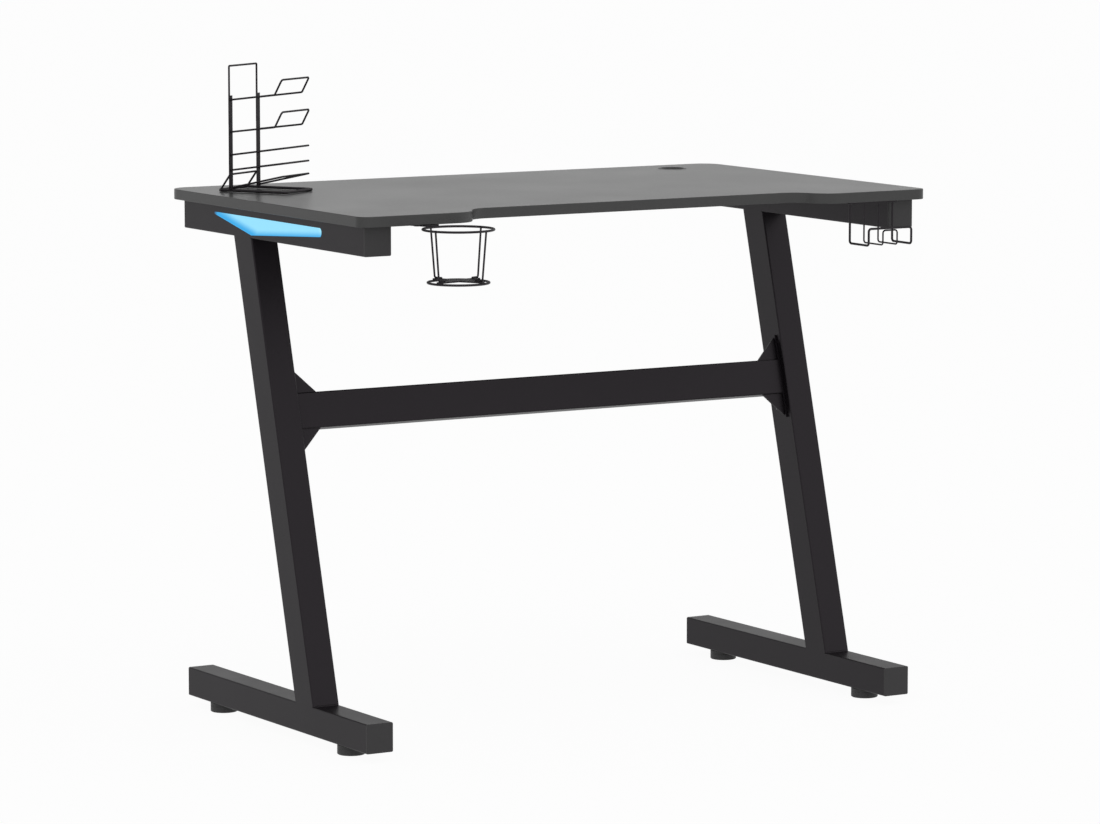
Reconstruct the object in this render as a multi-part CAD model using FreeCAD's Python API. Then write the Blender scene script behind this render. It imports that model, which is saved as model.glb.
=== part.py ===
import FreeCAD, Part
import math
import os

# Z-frame gaming desk. Millimetres and degrees, +Z up, -Y towards the sitter.
# The sub-parts are drawn with X = 0 and Y = 0 under the middle of the tabletop, and are moved
# back at the end so that the origin lies on the floor, in the middle of the whole footprint.

V = FreeCAD.Vector
X_AXIS = V(1, 0, 0)
Y_AXIS = V(0, 1, 0)
Z_AXIS = V(0, 0, 1)
SIDES = {"left": -1, "right": 1}

# Points nearer than this are the same place
same_place = 0.001

# Clearances
thread_clearance = 0.05
moving_gap = 0.3
running_clearance = 0.05
hole_clearance = 0.25

# Tabletop
top_width = 900.0
top_depth = 560.0
top_height = 728.0
board_thickness = 14.2
edge_band_thickness = 1.2
edge_band_round = 0.8
front_corner_radius = 16.0
back_corner_radius = 30.0
recess_depth = 46.5
recess_half_width = 269.5
recess_turn = 68.0

# Cable grommet
grommet_from_side = 104.0
grommet_from_back = 61.0
grommet_hole_radius = 18.8
grommet_wall = 2.0
grommet_flange_width = 2.2
grommet_flange_height = 0.5

# Tube frame
rail_height = 40.0
rail_width = 40.0
foot_height = 40.0
leg_depth = 50.0
tube_wall = 1.5
tube_corner = 2.0
rail_overhang = 14.0
rail_front_setback = 17.0
rail_back_setback = 26.0
leg_foot_from_front = 174.2
leg_top_from_front = 343.5
cap_thickness = 2.0
cap_edge_round = 0.8
cap_plug_length = 12.0
cap_plug_clearance = 0.1

# Levelling glides
glide_height = 13.5
glide_radius = 19.0
glide_chamfer_width = 1.0
glide_chamfer_height = 0.8
glide_stud_radius = 4.0
glide_stud_length = 30.0
glide_from_front = 79.0
glide_from_back = 70.0
glide_nut_radius = 9.0
glide_nut_height = 8.0

# Rail screws and their threaded inserts
rail_screw_radius = 3.0
rail_screw_head_radius = 6.0
rail_screw_head_height = 4.0
rail_screw_access_radius = 8.0
rail_screw_tip_gap = 2.0
rail_screw_from_front = 63.0
rail_screw_from_back = 54.0
rail_screw_count = 3
insert_radius = 4.25
insert_cover = 4.0

# Lit panels
panel_tip_from_back = 92.0
panel_knee_from_back = 200.0
panel_nose_from_front = 118.0
panel_top_margin = 11.0
panel_bottom_margin = 4.5
panel_tip_height = 2.6
panel_nose_height = 11.5
panel_nose_round = 5.0
panel_tip_round = 1.0
panel_knee_round = 3.0
panel_proud = 0.4
panel_flange_width = 2.5
panel_flange_thickness = 1.5
panel_clearance = 0.15

# LED strips and their leads
strip_width = 8.0
strip_thickness = 1.0
strip_from_rail_bottom = 18.0
strip_end_margin = 12.0
led_size = 5.0
led_height = 1.6
led_pitch = 20.0
strip_plug_width = 8.0
strip_plug_depth = 6.0
lead_diameter = 3.0
lead_drop = 6.0
lead_from_back = 134.0
bush_wall = 1.5
bush_flange_width = 1.5
bush_flange_thickness = 1.2
clip_count = 5
clip_width = 12.0
clip_depth = 14.0
clip_floor = 1.5

# Light control box
box_width = 80.0
box_depth = 50.0
box_height = 22.0
box_wall = 2.0
box_corner = 3.0
box_edge_round = 1.0
box_gap_to_rail = 16.0
box_ear_width = 12.0
box_ear_depth = 14.0
box_ear_thickness = 3.0
box_ear_corner = 5.0
box_ear_offset = 15.0
box_post_radius = 2.5
box_post_height = 3.0
box_post_inset = 5.0
box_screw_radius = 1.75
box_screw_head_radius = 3.5
box_screw_head_height = 2.0
box_screw_bite = 9.0
circuit_thickness = 1.6
circuit_clearance = 0.5
terminal_width = 10.0
terminal_depth = 6.0
terminal_gap = 0.2
button_drop = 8.0
button_radius = 5.0
button_proud = 2.5
button_collar_radius = 6.0
button_collar_thickness = 1.2
button_travel = 1.5
switch_width = 8.0
switch_depth = 6.0
inlet_drop = 8.5
inlet_offset = 15.0
inlet_radius = 5.0
inlet_flange_radius = 7.0
inlet_flange_thickness = 1.5
inlet_length = 8.0
inlet_bore_radius = 3.0
inlet_pin_radius = 1.0
inlet_end_wall = 1.5

# Stretcher, along the lean of the legs
stretcher_above_foot = 372.6
stretcher_height = 49.8
stretcher_depth = 25.0
stretcher_setback = 10.0
gusset_setback = 13.0
gusset_size = 32.0
gusset_thickness = 3.0
end_plate_thickness = 3.0
end_plate_margin = 2.0
end_plate_taper = 18.0
stretcher_bolt_spacing = 84.0
bolt_radius = 3.0
bolt_head_radius = 5.5
bolt_head_height = 4.0
bolt_length = 16.0
rivet_nut_radius = 4.5
rivet_nut_length = 14.0

# Cup holder
cup_from_side = 119.7
cup_ahead_of_edge = 45.0
cup_ring_radius = 46.8
cup_base_radius = 40.3
cup_height = 69.7
cup_ring_wire = 3.2
cup_upright_wire = 2.6
cup_upright_bend = 2.5
cup_upright_foot = 12.0
cup_upright_turn = 1.7
cup_cross_turn = 90.0
cup_base_arm = 16.0
cup_base_thickness = 2.0
cup_base_corner = 4.0
cup_weld_depth = 0.3
cup_turn = 19.0
cup_bracket_width = 28.0
cup_bracket_thickness = 1.5
cup_bracket_front_corner = 1.5
cup_bracket_back_corner = 6.0
cup_bracket_tail = 12.0
cup_pivot_reach = 72.0
cup_pivot_radius = 2.5
cup_pivot_head_radius = 5.0
cup_pivot_head_height = 2.5
cup_pivot_bite = 10.0

# Headphone hook
hook_from_side = 52.7
hook_pitch = 23.7
hook_upright_count = 4
hook_behind_edge = 10.0
hook_reach = 46.0
hook_drop = 56.7
hook_outer_lip = 23.0
hook_inner_lip = 20.0
hook_outer_wire_diameter = 3.2
hook_inner_wire_diameter = 2.3
hook_bend = 4.0
hook_plate_thickness = 2.0
hook_plate_front = 6.0
hook_plate_back = 4.5
hook_plate_end = 6.0
hook_tongue_width = 58.0
hook_tongue_depth = 30.0
hook_plate_corner = 3.0
hook_screw_spacing = 34.0
hook_screw_from_tongue_end = 10.0
hook_screw_radius = 2.0
hook_screw_head_radius = 4.0
hook_screw_head_height = 2.0
hook_screw_bite = 10.0

# Rack that stands on the board
rack_from_side = 75.0
rack_from_back = 91.3
rack_turn = 30.5
rack_width = 72.0
rack_bar = 4.0
rack_bar_corner = 5.0
rack_base_behind = 19.5
rack_base_ahead = 88.0
rack_post_width = 9.0
rack_post_thickness = 1.2
rack_post_height = 133.0
rack_post_seat = 0.6
rack_wire = 2.7
rack_wire_bend = 3.5
rack_frame_bend = 1.5
rack_frame_height = 175.0
rack_frame_overlap = 40.0
rack_brace_wire = 2.8
rack_brace_height = 24.0
rack_upper_arm_height = 127.0
rack_lower_arm_height = 82.7
rack_arm_reach = 71.5
rack_arm_tilt = 7.0
rack_arm_tip_reach = 11.6
rack_arm_tip_rise = 21.0
rack_shelf_reach = 83.0
rack_upper_shelf_height = 51.0
rack_middle_shelf_height = 30.0
rack_lower_shelf_height = 5.5
rack_upper_shelf_tilt = 8.0
rack_middle_shelf_tilt = 8.0
rack_lower_shelf_tilt = 12.5

# Places that follow from the driving dimensions
half_width = top_width / 2
half_depth = top_depth / 2
underside = top_height - board_thickness
rail_bottom = underside - rail_height
foot_bottom = glide_height
foot_top = foot_bottom + foot_height
rail_outer_x = half_width - rail_overhang
rail_mid_x = rail_outer_x - rail_width / 2
rail_inner_x = rail_outer_x - rail_width
rail_front_y = -half_depth + rail_front_setback
rail_back_y = half_depth - rail_back_setback
leg_foot_y = rail_front_y + leg_foot_from_front
leg_top_y = rail_front_y + leg_top_from_front
leg_lean = math.degrees(math.atan2(leg_top_y - leg_foot_y, rail_bottom - foot_top))
lead_y = rail_back_y - lead_from_back
lead_z = underside - lead_drop
lead_radius = lead_diameter / 2
insert_length = board_thickness - insert_cover
box_mid_x = -(rail_inner_x - box_gap_to_rail - box_width / 2)
cup_x = -half_width + cup_from_side
cup_y = -half_depth - cup_ahead_of_edge
cup_bracket_top = underside - moving_gap
cup_ring_z = cup_bracket_top - cup_bracket_thickness - cup_ring_wire / 2
cup_base_bottom = cup_ring_wire / 2 - cup_height - cup_weld_depth
cup_base_top = cup_base_bottom + cup_base_thickness
cup_base_reach = cup_base_radius + cup_ring_wire / 2
hook_right_x = half_width - hook_from_side
hook_span = (hook_upright_count - 1) * hook_pitch
footprint_front = cup_y - cup_ring_radius - cup_ring_wire / 2
footprint_shift = V(0, -(footprint_front + half_depth) / 2, 0)


def block(low, high):
    """Box between two corners."""
    size = V(*high) - V(*low)
    return Part.makeBox(size.x, size.y, size.z, V(*low))


def rod(radius, start, direction, length):
    """Round bar from a point along a direction."""
    return Part.makeCylinder(radius, length, V(*start), V(*direction))


def arc_edge(centre, radius, start, end):
    """Arc in the XY plane, from one angle to another in degrees."""
    angles = (math.radians(a) for a in (start, (start + end) / 2, end))
    middle = V(*centre, 0)
    points = [middle + V(math.cos(a), math.sin(a), 0) * radius for a in angles]
    return Part.Arc(*points).toShape()


def corner_arc(before, corner, after, radius):
    """Arc that rounds a corner of a route: its two ends and its middle."""
    back = (before - corner).normalize()
    ahead = (after - corner).normalize()
    half_turn = (math.pi - back.getAngle(ahead)) / 2
    inward = (back + ahead).normalize()
    centre = corner + inward * (radius / math.cos(half_turn))
    reach = radius * math.tan(half_turn)
    return corner + back * reach, centre - inward * radius, corner + ahead * reach


def rounded_route(points, radii, closed):
    """Wire through points, with an arc at each corner whose radius isn't zero."""
    count = len(points)
    first = 0 if closed else 1
    last = count if closed else count - 1
    stops = [] if closed else [points[0]]
    edges = []
    for i in range(first, last):
        if radii[i] > 0:
            start, middle, end = corner_arc(points[i - 1], points[i], points[(i + 1) % count], radii[i])
        else:
            start, middle, end = points[i], None, points[i]
        if stops:
            edges.append(Part.LineSegment(stops[-1], start).toShape())
        if middle:
            edges.append(Part.Arc(start, middle, end).toShape())
        stops += [start, end]
    if closed:
        edges.append(Part.LineSegment(stops[-1], stops[0]).toShape())
    else:
        edges.append(Part.LineSegment(stops[-1], points[-1]).toShape())
    return Part.Wire(edges)


def bent_wire(points, bend, diameter, closed=False):
    """Round wire bent to one radius at each corner of its route."""
    corners = [V(*p) for p in points]
    path = rounded_route(corners, [bend] * len(corners), closed)
    first = path.OrderedEdges[0]
    start = first.valueAt(first.FirstParameter)
    tangent = first.tangentAt(first.FirstParameter)
    section = Part.Wire([Part.Circle(start, tangent, diameter / 2).toShape()])
    return path.makePipeShell([section], True, False)


def plate(points, radii, thickness):
    """Flat plate with rounded corners, from the XY plane upwards."""
    outline = rounded_route([V(x, y, 0) for x, y in points], radii, True)
    return Part.Face(outline).extrude(V(0, 0, thickness))


def rectangle_plate(width, depth, corner, thickness):
    """Rectangular plate with rounded corners, centred on the Z axis."""
    x = width / 2
    y = depth / 2
    return plate([(-x, -y), (x, -y), (x, y), (-x, y)], [corner] * 4, thickness)


def box_tube(width, depth, length):
    """Square-cornered tube with rounded edges, standing on the XY plane."""
    outer = rectangle_plate(width, depth, tube_corner, length)
    inner_corner = max(tube_corner - tube_wall, 0)
    inner = rectangle_plate(width - 2 * tube_wall, depth - 2 * tube_wall, inner_corner, length)
    return outer.cut(inner)


def laid_along_y(shape, x, y, z):
    """Turns a standing shape to lie along +Y, starting at a point."""
    shape.rotate(V(0, 0, 0), X_AXIS, -90)
    shape.translate(V(x, y, z))
    return shape


def leaned(shape):
    """Moves a shape from the leg's own frame (axis up, foot at zero) to its place on the desk."""
    shape.rotate(V(0, 0, 0), X_AXIS, -leg_lean)
    shape.translate(V(0, leg_foot_y, foot_top))
    return shape


def pan_screw(radius, head_radius, head_height, length):
    """Screw that points up, with its head under the XY plane."""
    shank = rod(radius, (0, 0, 0), (0, 0, 1), length)
    return shank.fuse(rod(head_radius, (0, 0, 0), (0, 0, -1), head_height))


def group(shapes):
    """Separate solids that share one node."""
    return Part.makeCompound(shapes)


def moved(shape, x, y, z):
    """Copy of a shape at another place."""
    copy = shape.copy()
    copy.translate(V(x, y, z))
    return copy


def edges_at_level(shape, z):
    """Edges of a shape whose middle lies at one height."""
    return [e for e in shape.Edges if abs(e.CenterOfMass.z - z) < same_place]


def edge_stands(edge):
    """True for a straight edge along Z."""
    return edge.tangentAt(edge.FirstParameter).cross(Z_AXIS).Length < same_place


def tabletop_outline(inset):
    """Outline of the board, drawn inwards by an inset."""
    turn = math.radians(recess_turn)
    bend = recess_depth / (2 * (1 - math.cos(turn)))
    run = bend * math.sin(turn)
    front = -half_depth
    outer = bend - inset
    inner = bend + inset
    recess = front + recess_depth
    front_x = half_width - front_corner_radius
    front_y = front + front_corner_radius
    back_x = half_width - back_corner_radius
    back_y = half_depth - back_corner_radius
    arcs = [
        arc_edge((-front_x, front_y), front_corner_radius - inset, 180, 270),
        arc_edge((-recess_half_width - run, front + bend), outer, 270, 270 + recess_turn),
        arc_edge((-recess_half_width + run, recess - bend), inner, 90 + recess_turn, 90),
        arc_edge((recess_half_width - run, recess - bend), inner, 90, 90 - recess_turn),
        arc_edge((recess_half_width + run, front + bend), outer, 270 - recess_turn, 270),
        arc_edge((front_x, front_y), front_corner_radius - inset, 270, 360),
        arc_edge((back_x, back_y), back_corner_radius - inset, 0, 90),
        arc_edge((-back_x, back_y), back_corner_radius - inset, 90, 180),
    ]
    edges = []
    for arc, following in zip(arcs, arcs[1:] + arcs[:1]):
        edges.append(arc)
        end = arc.valueAt(arc.LastParameter)
        start = following.valueAt(following.FirstParameter)
        if end.distanceToPoint(start) > same_place:
            edges.append(Part.LineSegment(end, start).toShape())
    return Part.Wire(edges)


def grommet_place():
    """Middle of the cable hole."""
    return half_width - grommet_from_side, half_depth - grommet_from_back


def rail_screw_places():
    """Middle of each screw that holds a top rail."""
    first = rail_front_y + rail_screw_from_front
    last = rail_back_y - rail_screw_from_back
    rows = [first + (last - first) * i / (rail_screw_count - 1) for i in range(rail_screw_count)]
    return [(side * rail_mid_x, y) for side in SIDES.values() for y in rows]


def hook_screw_places():
    """Middle of each screw that holds the headphone hook."""
    middle = hook_right_x - hook_span / 2
    y = -half_depth + hook_behind_edge + hook_plate_back + hook_tongue_depth - hook_screw_from_tongue_end
    return [(middle + side * hook_screw_spacing / 2, y) for side in SIDES.values()]


def cup_pivot_place():
    """Middle of the screw on which the cup holder swings."""
    turn = math.radians(cup_turn)
    return cup_x - cup_pivot_reach * math.sin(turn), cup_y + cup_pivot_reach * math.cos(turn)


def box_screw_places():
    """Middle of each screw that holds the light control box."""
    reach = box_width / 2 + box_ear_width / 2
    return [(box_mid_x + side * reach, lead_y + box_ear_offset) for side in SIDES.values()]


def tabletop_board():
    """Board inside its edge band, with the cable hole and the screws' holes."""
    board = Part.Face(tabletop_outline(edge_band_thickness)).extrude(V(0, 0, board_thickness))
    board.translate(V(0, 0, underside))
    x, y = grommet_place()
    holes = [rod(grommet_hole_radius, (x, y, underside), (0, 0, 1), board_thickness)]
    drilled = [
        (rail_screw_places(), insert_radius, insert_length),
        (hook_screw_places(), hook_screw_radius, hook_screw_bite),
        ([cup_pivot_place()], cup_pivot_radius, cup_pivot_bite),
        (box_screw_places(), box_screw_radius, box_screw_bite),
    ]
    for places, radius, depth in drilled:
        for x, y in places:
            drill_radius = radius + thread_clearance
            holes.append(rod(drill_radius, (x, y, underside), (0, 0, 1), depth + thread_clearance))
    return board.cut(holes)


def edge_band():
    """Band round the board's edge, with its two outer edges eased."""
    ring = Part.Face(tabletop_outline(0)).extrude(V(0, 0, board_thickness))
    rims = edges_at_level(ring, 0) + edges_at_level(ring, board_thickness)
    ring = ring.makeFillet(edge_band_round, rims)
    core = Part.Face(tabletop_outline(edge_band_thickness)).extrude(V(0, 0, board_thickness))
    band = ring.cut(core)
    band.translate(V(0, 0, underside))
    return band


def cable_grommet():
    """Sleeve with a flange that lines the cable hole."""
    x, y = grommet_place()
    radius = grommet_hole_radius - thread_clearance
    sleeve = rod(radius, (x, y, underside), (0, 0, 1), board_thickness)
    flange = rod(radius + grommet_flange_width, (x, y, top_height), (0, 0, 1), grommet_flange_height)
    height = board_thickness + grommet_flange_height
    return sleeve.fuse(flange).cut(rod(radius - grommet_wall, (x, y, underside), (0, 0, 1), height))


def frame_tube(x, bottom, height):
    """Tube between the inner faces of its two end caps."""
    length = rail_back_y - rail_front_y - 2 * cap_thickness
    tube = box_tube(rail_width, height, length)
    return laid_along_y(tube, x, rail_front_y + cap_thickness, bottom + height / 2)


def panel_outline(offset):
    """Blade-shaped outline of the lit panel, with X along the rail and Y up, grown by an offset."""
    tip = rail_back_y - panel_tip_from_back
    knee = rail_back_y - panel_knee_from_back
    nose = rail_front_y + panel_nose_from_front
    top = underside - panel_top_margin
    bottom = rail_bottom + panel_bottom_margin
    points = [
        V(nose, top - panel_nose_height, 0),
        V(knee, bottom, 0),
        V(tip, top - panel_tip_height, 0),
        V(tip, top, 0),
        V(nose, top, 0),
    ]
    radii = [panel_nose_round, panel_knee_round, panel_tip_round, panel_tip_round, panel_nose_round]
    outline = rounded_route(points, radii, True)
    return outline.makeOffset2D(offset) if offset else outline


def panel_solid(offset, side, outer_x, thickness):
    """Prism of the panel's outline that reaches inwards from a plane across X."""
    prism = Part.Face(panel_outline(offset)).extrude(V(0, 0, thickness))
    prism.rotate(V(0, 0, 0), V(1, 1, 1), 120)
    if side > 0:
        prism.translate(V(outer_x - thickness, 0, 0))
    else:
        prism.translate(V(-outer_x, 0, 0))
    return prism


def top_rail(side):
    """Top rail with its panel window, the screws' and the driver's holes and the lead's hole."""
    rail = frame_tube(side * rail_mid_x, rail_bottom, rail_height)
    cuts = [panel_solid(panel_clearance, side, rail_outer_x, tube_wall)]
    for x, y in rail_screw_places():
        cuts.append(rod(rail_screw_radius + hole_clearance, (x, y, underside), (0, 0, -1), tube_wall))
        cuts.append(rod(rail_screw_access_radius, (x, y, rail_bottom), (0, 0, 1), tube_wall))
    bush_hole_radius = lead_radius + bush_wall + 2 * thread_clearance
    cuts.append(rod(bush_hole_radius, (side * rail_inner_x, lead_y, lead_z), (side, 0, 0), tube_wall))
    return rail.cut(cuts)


def foot_rail(side):
    """Foot rail with the holes for the glides' studs."""
    rail = frame_tube(side * rail_mid_x, foot_bottom, foot_height)
    radius = glide_stud_radius + hole_clearance
    starts = [(side * rail_mid_x, y, foot_bottom) for y in glide_rows().values()]
    return rail.cut([rod(radius, start, (0, 0, 1), tube_wall) for start in starts])


def leg(side):
    """Leaning leg, cut level at the foot rail and at the top rail."""
    rise = rail_bottom - foot_top
    tube = moved(box_tube(rail_width, leg_depth, 2 * rise), side * rail_mid_x, 0, -rise / 2)
    holes = []
    for y, z in stretcher_bolt_places():
        start = (side * rail_inner_x, y, z)
        holes.append(rod(rivet_nut_radius + thread_clearance, start, (side, 0, 0), tube_wall))
    tube = leaned(tube.cut(holes))
    return tube.common(block((-top_width, -top_depth, foot_top), (top_width, top_depth, rail_bottom)))


def end_caps(bottom, height):
    """Four end caps: a flange over each tube end and a plug inside it."""
    width = rail_width - 2 * tube_wall - 2 * cap_plug_clearance
    depth = height - 2 * tube_wall - 2 * cap_plug_clearance
    cap = rectangle_plate(rail_width, height, tube_corner, cap_thickness)
    cap = cap.makeFillet(cap_edge_round, edges_at_level(cap, 0))
    cap = cap.fuse(moved(rectangle_plate(width, depth, 0, cap_plug_length), 0, 0, cap_thickness))
    caps = []
    for side in SIDES.values():
        x = side * rail_mid_x
        z = bottom + height / 2
        caps.append(laid_along_y(cap.copy(), x, rail_front_y, z))
        rear = cap.copy()
        rear.rotate(V(0, 0, 0), X_AXIS, 180)
        caps.append(laid_along_y(rear, x, rail_back_y, z))
    return group(caps)


def glide_rows():
    """Place along the foot rail of the front and the rear glides."""
    return {"front": rail_front_y + glide_from_front, "rear": rail_back_y - glide_from_back}


def glide(side, y):
    """Levelling glide: a bevelled foot moulded on a threaded stud."""
    flat_radius = glide_radius - glide_chamfer_width
    foot_length = glide_height - moving_gap
    bevel = Part.makeCone(flat_radius, glide_radius, glide_chamfer_height)
    pad = rod(glide_radius, (0, 0, glide_chamfer_height), (0, 0, 1), foot_length - glide_chamfer_height)
    stud = rod(glide_stud_radius, (0, 0, foot_length), (0, 0, 1), glide_stud_length)
    return moved(bevel.fuse([pad, stud]).removeSplitter(), side * rail_mid_x, y, 0)


def glide_nuts():
    """Threaded nuts on the floor of the foot rails."""
    bottom = foot_bottom + tube_wall
    nut = rod(glide_nut_radius, (0, 0, bottom), (0, 0, 1), glide_nut_height)
    nut = nut.cut(rod(glide_stud_radius + running_clearance, (0, 0, bottom), (0, 0, 1), glide_nut_height))
    places = [(side * rail_mid_x, y) for side in SIDES.values() for y in glide_rows().values()]
    return group([moved(nut, x, y, 0) for x, y in places])


def rail_screws():
    """Screws from inside the top rails into the board's inserts."""
    length = tube_wall + insert_length - rail_screw_tip_gap
    screw = pan_screw(rail_screw_radius, rail_screw_head_radius, rail_screw_head_height, length)
    return group([moved(screw, x, y, underside - tube_wall) for x, y in rail_screw_places()])


def rail_inserts():
    """Threaded inserts in the board over the top rails."""
    insert = rod(insert_radius, (0, 0, 0), (0, 0, 1), insert_length)
    insert = insert.cut(rod(rail_screw_radius + thread_clearance, (0, 0, 0), (0, 0, 1), insert_length))
    return group([moved(insert, x, y, underside) for x, y in rail_screw_places()])


def light_panel(side):
    """Diffuser that fills the window, with a flange inside the rail."""
    lens = panel_solid(0, side, rail_outer_x + panel_proud, panel_proud + tube_wall)
    flange = panel_solid(panel_flange_width, side, rail_outer_x - tube_wall, panel_flange_thickness)
    return lens.fuse(flange)


def led_strip(side):
    """LED strip on the rail's inner wall, with the plug that takes its lead."""
    wall_x = rail_inner_x + tube_wall
    middle = rail_bottom + strip_from_rail_bottom
    start = rail_front_y + panel_nose_from_front + strip_end_margin
    end = rail_back_y - panel_tip_from_back - strip_end_margin
    face_x = wall_x + strip_thickness
    bottom = middle - strip_width / 2
    strip = block((wall_x, start, bottom), (face_x, end, bottom + strip_width))
    pieces = []
    count = int((end - start) // led_pitch)
    for i in range(count):
        y = start + (end - start) * (i + 0.5) / count
        low = (face_x, y - led_size / 2, middle - led_size / 2)
        pieces.append(block(low, (face_x + led_height, y + led_size / 2, middle + led_size / 2)))
    low = (wall_x, lead_y - strip_plug_width / 2, bottom + strip_width)
    high = (wall_x + strip_plug_depth, lead_y + strip_plug_width / 2, lead_z + lead_diameter)
    pieces.append(block(low, high))
    strip = strip.fuse(pieces).removeSplitter()
    return strip if side > 0 else strip.mirror(V(0, 0, 0), X_AXIS)


def lead_bushes():
    """Rubber bushes where the leads enter the rails."""
    bore = lead_radius + thread_clearance
    sleeve = bore + bush_wall
    bushes = []
    for side in SIDES.values():
        face = (side * rail_inner_x, lead_y, lead_z)
        bush = rod(sleeve, face, (side, 0, 0), tube_wall)
        bush = bush.fuse(rod(sleeve + bush_flange_width, face, (-side, 0, 0), bush_flange_thickness))
        hole_start = (side * (rail_inner_x - bush_flange_thickness), lead_y, lead_z)
        bushes.append(bush.cut(rod(bore, hole_start, (side, 0, 0), tube_wall + bush_flange_thickness)))
    return group(bushes)


def led_lead(side):
    """Lead from the control box's terminal to the plug of an LED strip."""
    start = box_mid_x + side * (box_width / 2 - box_wall - terminal_gap)
    end = side * (rail_inner_x + tube_wall)
    return rod(lead_radius, (start, lead_y, lead_z), (side, 0, 0), abs(end - start))


def lead_clips():
    """Saddle clips that hold the long lead to the underside."""
    start = box_mid_x + box_width / 2
    low = underside - lead_drop - lead_radius - clip_floor
    clips = []
    for i in range(clip_count):
        x = start + (rail_inner_x - start) * (i + 1) / (clip_count + 1)
        left = x - clip_width / 2
        front = lead_y - clip_depth / 2
        clip = block((left, front, low), (left + clip_width, front + clip_depth, underside))
        bore = rod(lead_radius + thread_clearance, (left, lead_y, lead_z), (1, 0, 0), clip_width)
        clips.append(clip.cut(bore))
    return group(clips)


def control_box():
    """Tray under the board, with ears, posts and holes for what passes its walls."""
    half_w = box_width / 2
    half_d = box_depth / 2
    floor = underside - box_height
    inner_w = half_w - box_wall
    inner_d = half_d - box_wall
    shell = rectangle_plate(box_width, box_depth, box_corner, box_height)
    shell = shell.makeFillet(box_edge_round, edges_at_level(shell, 0))
    inner_corner = max(box_corner - box_wall, 0)
    hollow = rectangle_plate(2 * inner_w, 2 * inner_d, inner_corner, box_height)
    shell = moved(shell.cut(moved(hollow, 0, 0, box_wall)), 0, 0, floor)
    ear_reach = half_w + box_ear_width
    ears = rectangle_plate(2 * ear_reach, box_ear_depth, box_ear_corner, box_ear_thickness)
    ears = moved(ears, 0, box_ear_offset, underside - box_ear_thickness)
    added = [ears.cut(block((-half_w, -half_d, floor), (half_w, half_d, underside)))]
    for side in SIDES.values():
        for end in SIDES.values():
            x = side * (inner_w - box_post_inset)
            y = end * (inner_d - box_post_inset)
            added.append(rod(box_post_radius, (x, y, floor + box_wall), (0, 0, 1), box_post_height))
    shell = shell.fuse(added)
    button_centre = (0, -half_d, underside - button_drop)
    inlet_centre = (inlet_offset, half_d, underside - inlet_drop)
    cuts = [
        rod(button_radius + moving_gap, button_centre, (0, 1, 0), box_wall),
        rod(inlet_radius + thread_clearance, inlet_centre, (0, -1, 0), box_wall),
    ]
    for side in SIDES.values():
        lead_centre = (side * half_w, 0, lead_z)
        cuts.append(rod(lead_radius + thread_clearance, lead_centre, (-side, 0, 0), box_wall))
        x = side * (half_w + box_ear_width / 2)
        start = (x, box_ear_offset, underside - box_ear_thickness)
        cuts.append(rod(box_screw_radius + hole_clearance, start, (0, 0, 1), box_ear_thickness))
    return moved(shell.cut(cuts), box_mid_x, lead_y, 0)


def control_board():
    """Circuit board on the posts, with two terminals and the switch behind the button."""
    half_w = box_width / 2 - box_wall - circuit_clearance
    half_d = box_depth / 2 - box_wall - circuit_clearance
    bottom = underside - box_height + box_wall + box_post_height
    top = bottom + circuit_thickness
    corner = max(box_corner - box_wall - circuit_clearance, 0)
    circuit = moved(rectangle_plate(2 * half_w, 2 * half_d, corner, circuit_thickness), 0, 0, bottom)
    added = []
    for side in SIDES.values():
        outer = side * (box_width / 2 - box_wall - terminal_gap)
        inner = outer - side * terminal_depth
        low = (min(inner, outer), -terminal_width / 2, top - circuit_thickness)
        added.append(block(low, (max(inner, outer), terminal_width / 2, lead_z + lead_diameter)))
    front = -box_depth / 2 + box_wall + button_collar_thickness + button_travel + 2 * moving_gap
    half = switch_width / 2
    switch_top = underside - button_drop + half
    added.append(block((-half, front, top), (half, front + switch_depth, switch_top)))
    return moved(circuit.fuse(added).removeSplitter(), box_mid_x, lead_y, 0)


def light_button():
    """Push button with a collar that keeps it in the box."""
    z = underside - button_drop
    cap_front = -box_depth / 2 - button_proud
    cap_length = button_proud + box_wall + moving_gap
    cap = rod(button_radius, (0, cap_front, z), (0, 1, 0), cap_length)
    collar_start = (0, cap_front + cap_length, z)
    collar = rod(button_collar_radius, collar_start, (0, 1, 0), button_collar_thickness)
    return moved(cap.fuse(collar), box_mid_x, lead_y, 0)


def power_inlet():
    """Round inlet socket with its centre pin, in the box's rear wall."""
    z = underside - inlet_drop
    face = box_depth / 2
    body = rod(inlet_radius, (inlet_offset, face, z), (0, -1, 0), box_wall + inlet_length)
    body = body.fuse(rod(inlet_flange_radius, (inlet_offset, face, z), (0, 1, 0), inlet_flange_thickness))
    depth = inlet_flange_thickness + box_wall + inlet_length - inlet_end_wall
    mouth = (inlet_offset, face + inlet_flange_thickness, z)
    body = body.cut(rod(inlet_bore_radius, mouth, (0, -1, 0), depth))
    pin_mouth = (inlet_offset, face, z)
    body = body.fuse(rod(inlet_pin_radius, pin_mouth, (0, -1, 0), box_wall + inlet_length))
    return moved(body, box_mid_x, lead_y, 0)


def control_box_screws():
    """Screws through the box's ears into the board."""
    length = box_ear_thickness + box_screw_bite
    screw = pan_screw(box_screw_radius, box_screw_head_radius, box_screw_head_height, length)
    return group([moved(screw, x, y, underside - box_ear_thickness) for x, y in box_screw_places()])


def stretcher_levels():
    """Lowest and highest level of the stretcher's beam along the leg."""
    return stretcher_above_foot, stretcher_above_foot + stretcher_height


def end_plate_levels():
    """Lowest and highest level of the end plates along the leg."""
    low, high = stretcher_levels()
    reach = gusset_size + end_plate_thickness
    return low - reach, high + reach


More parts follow.
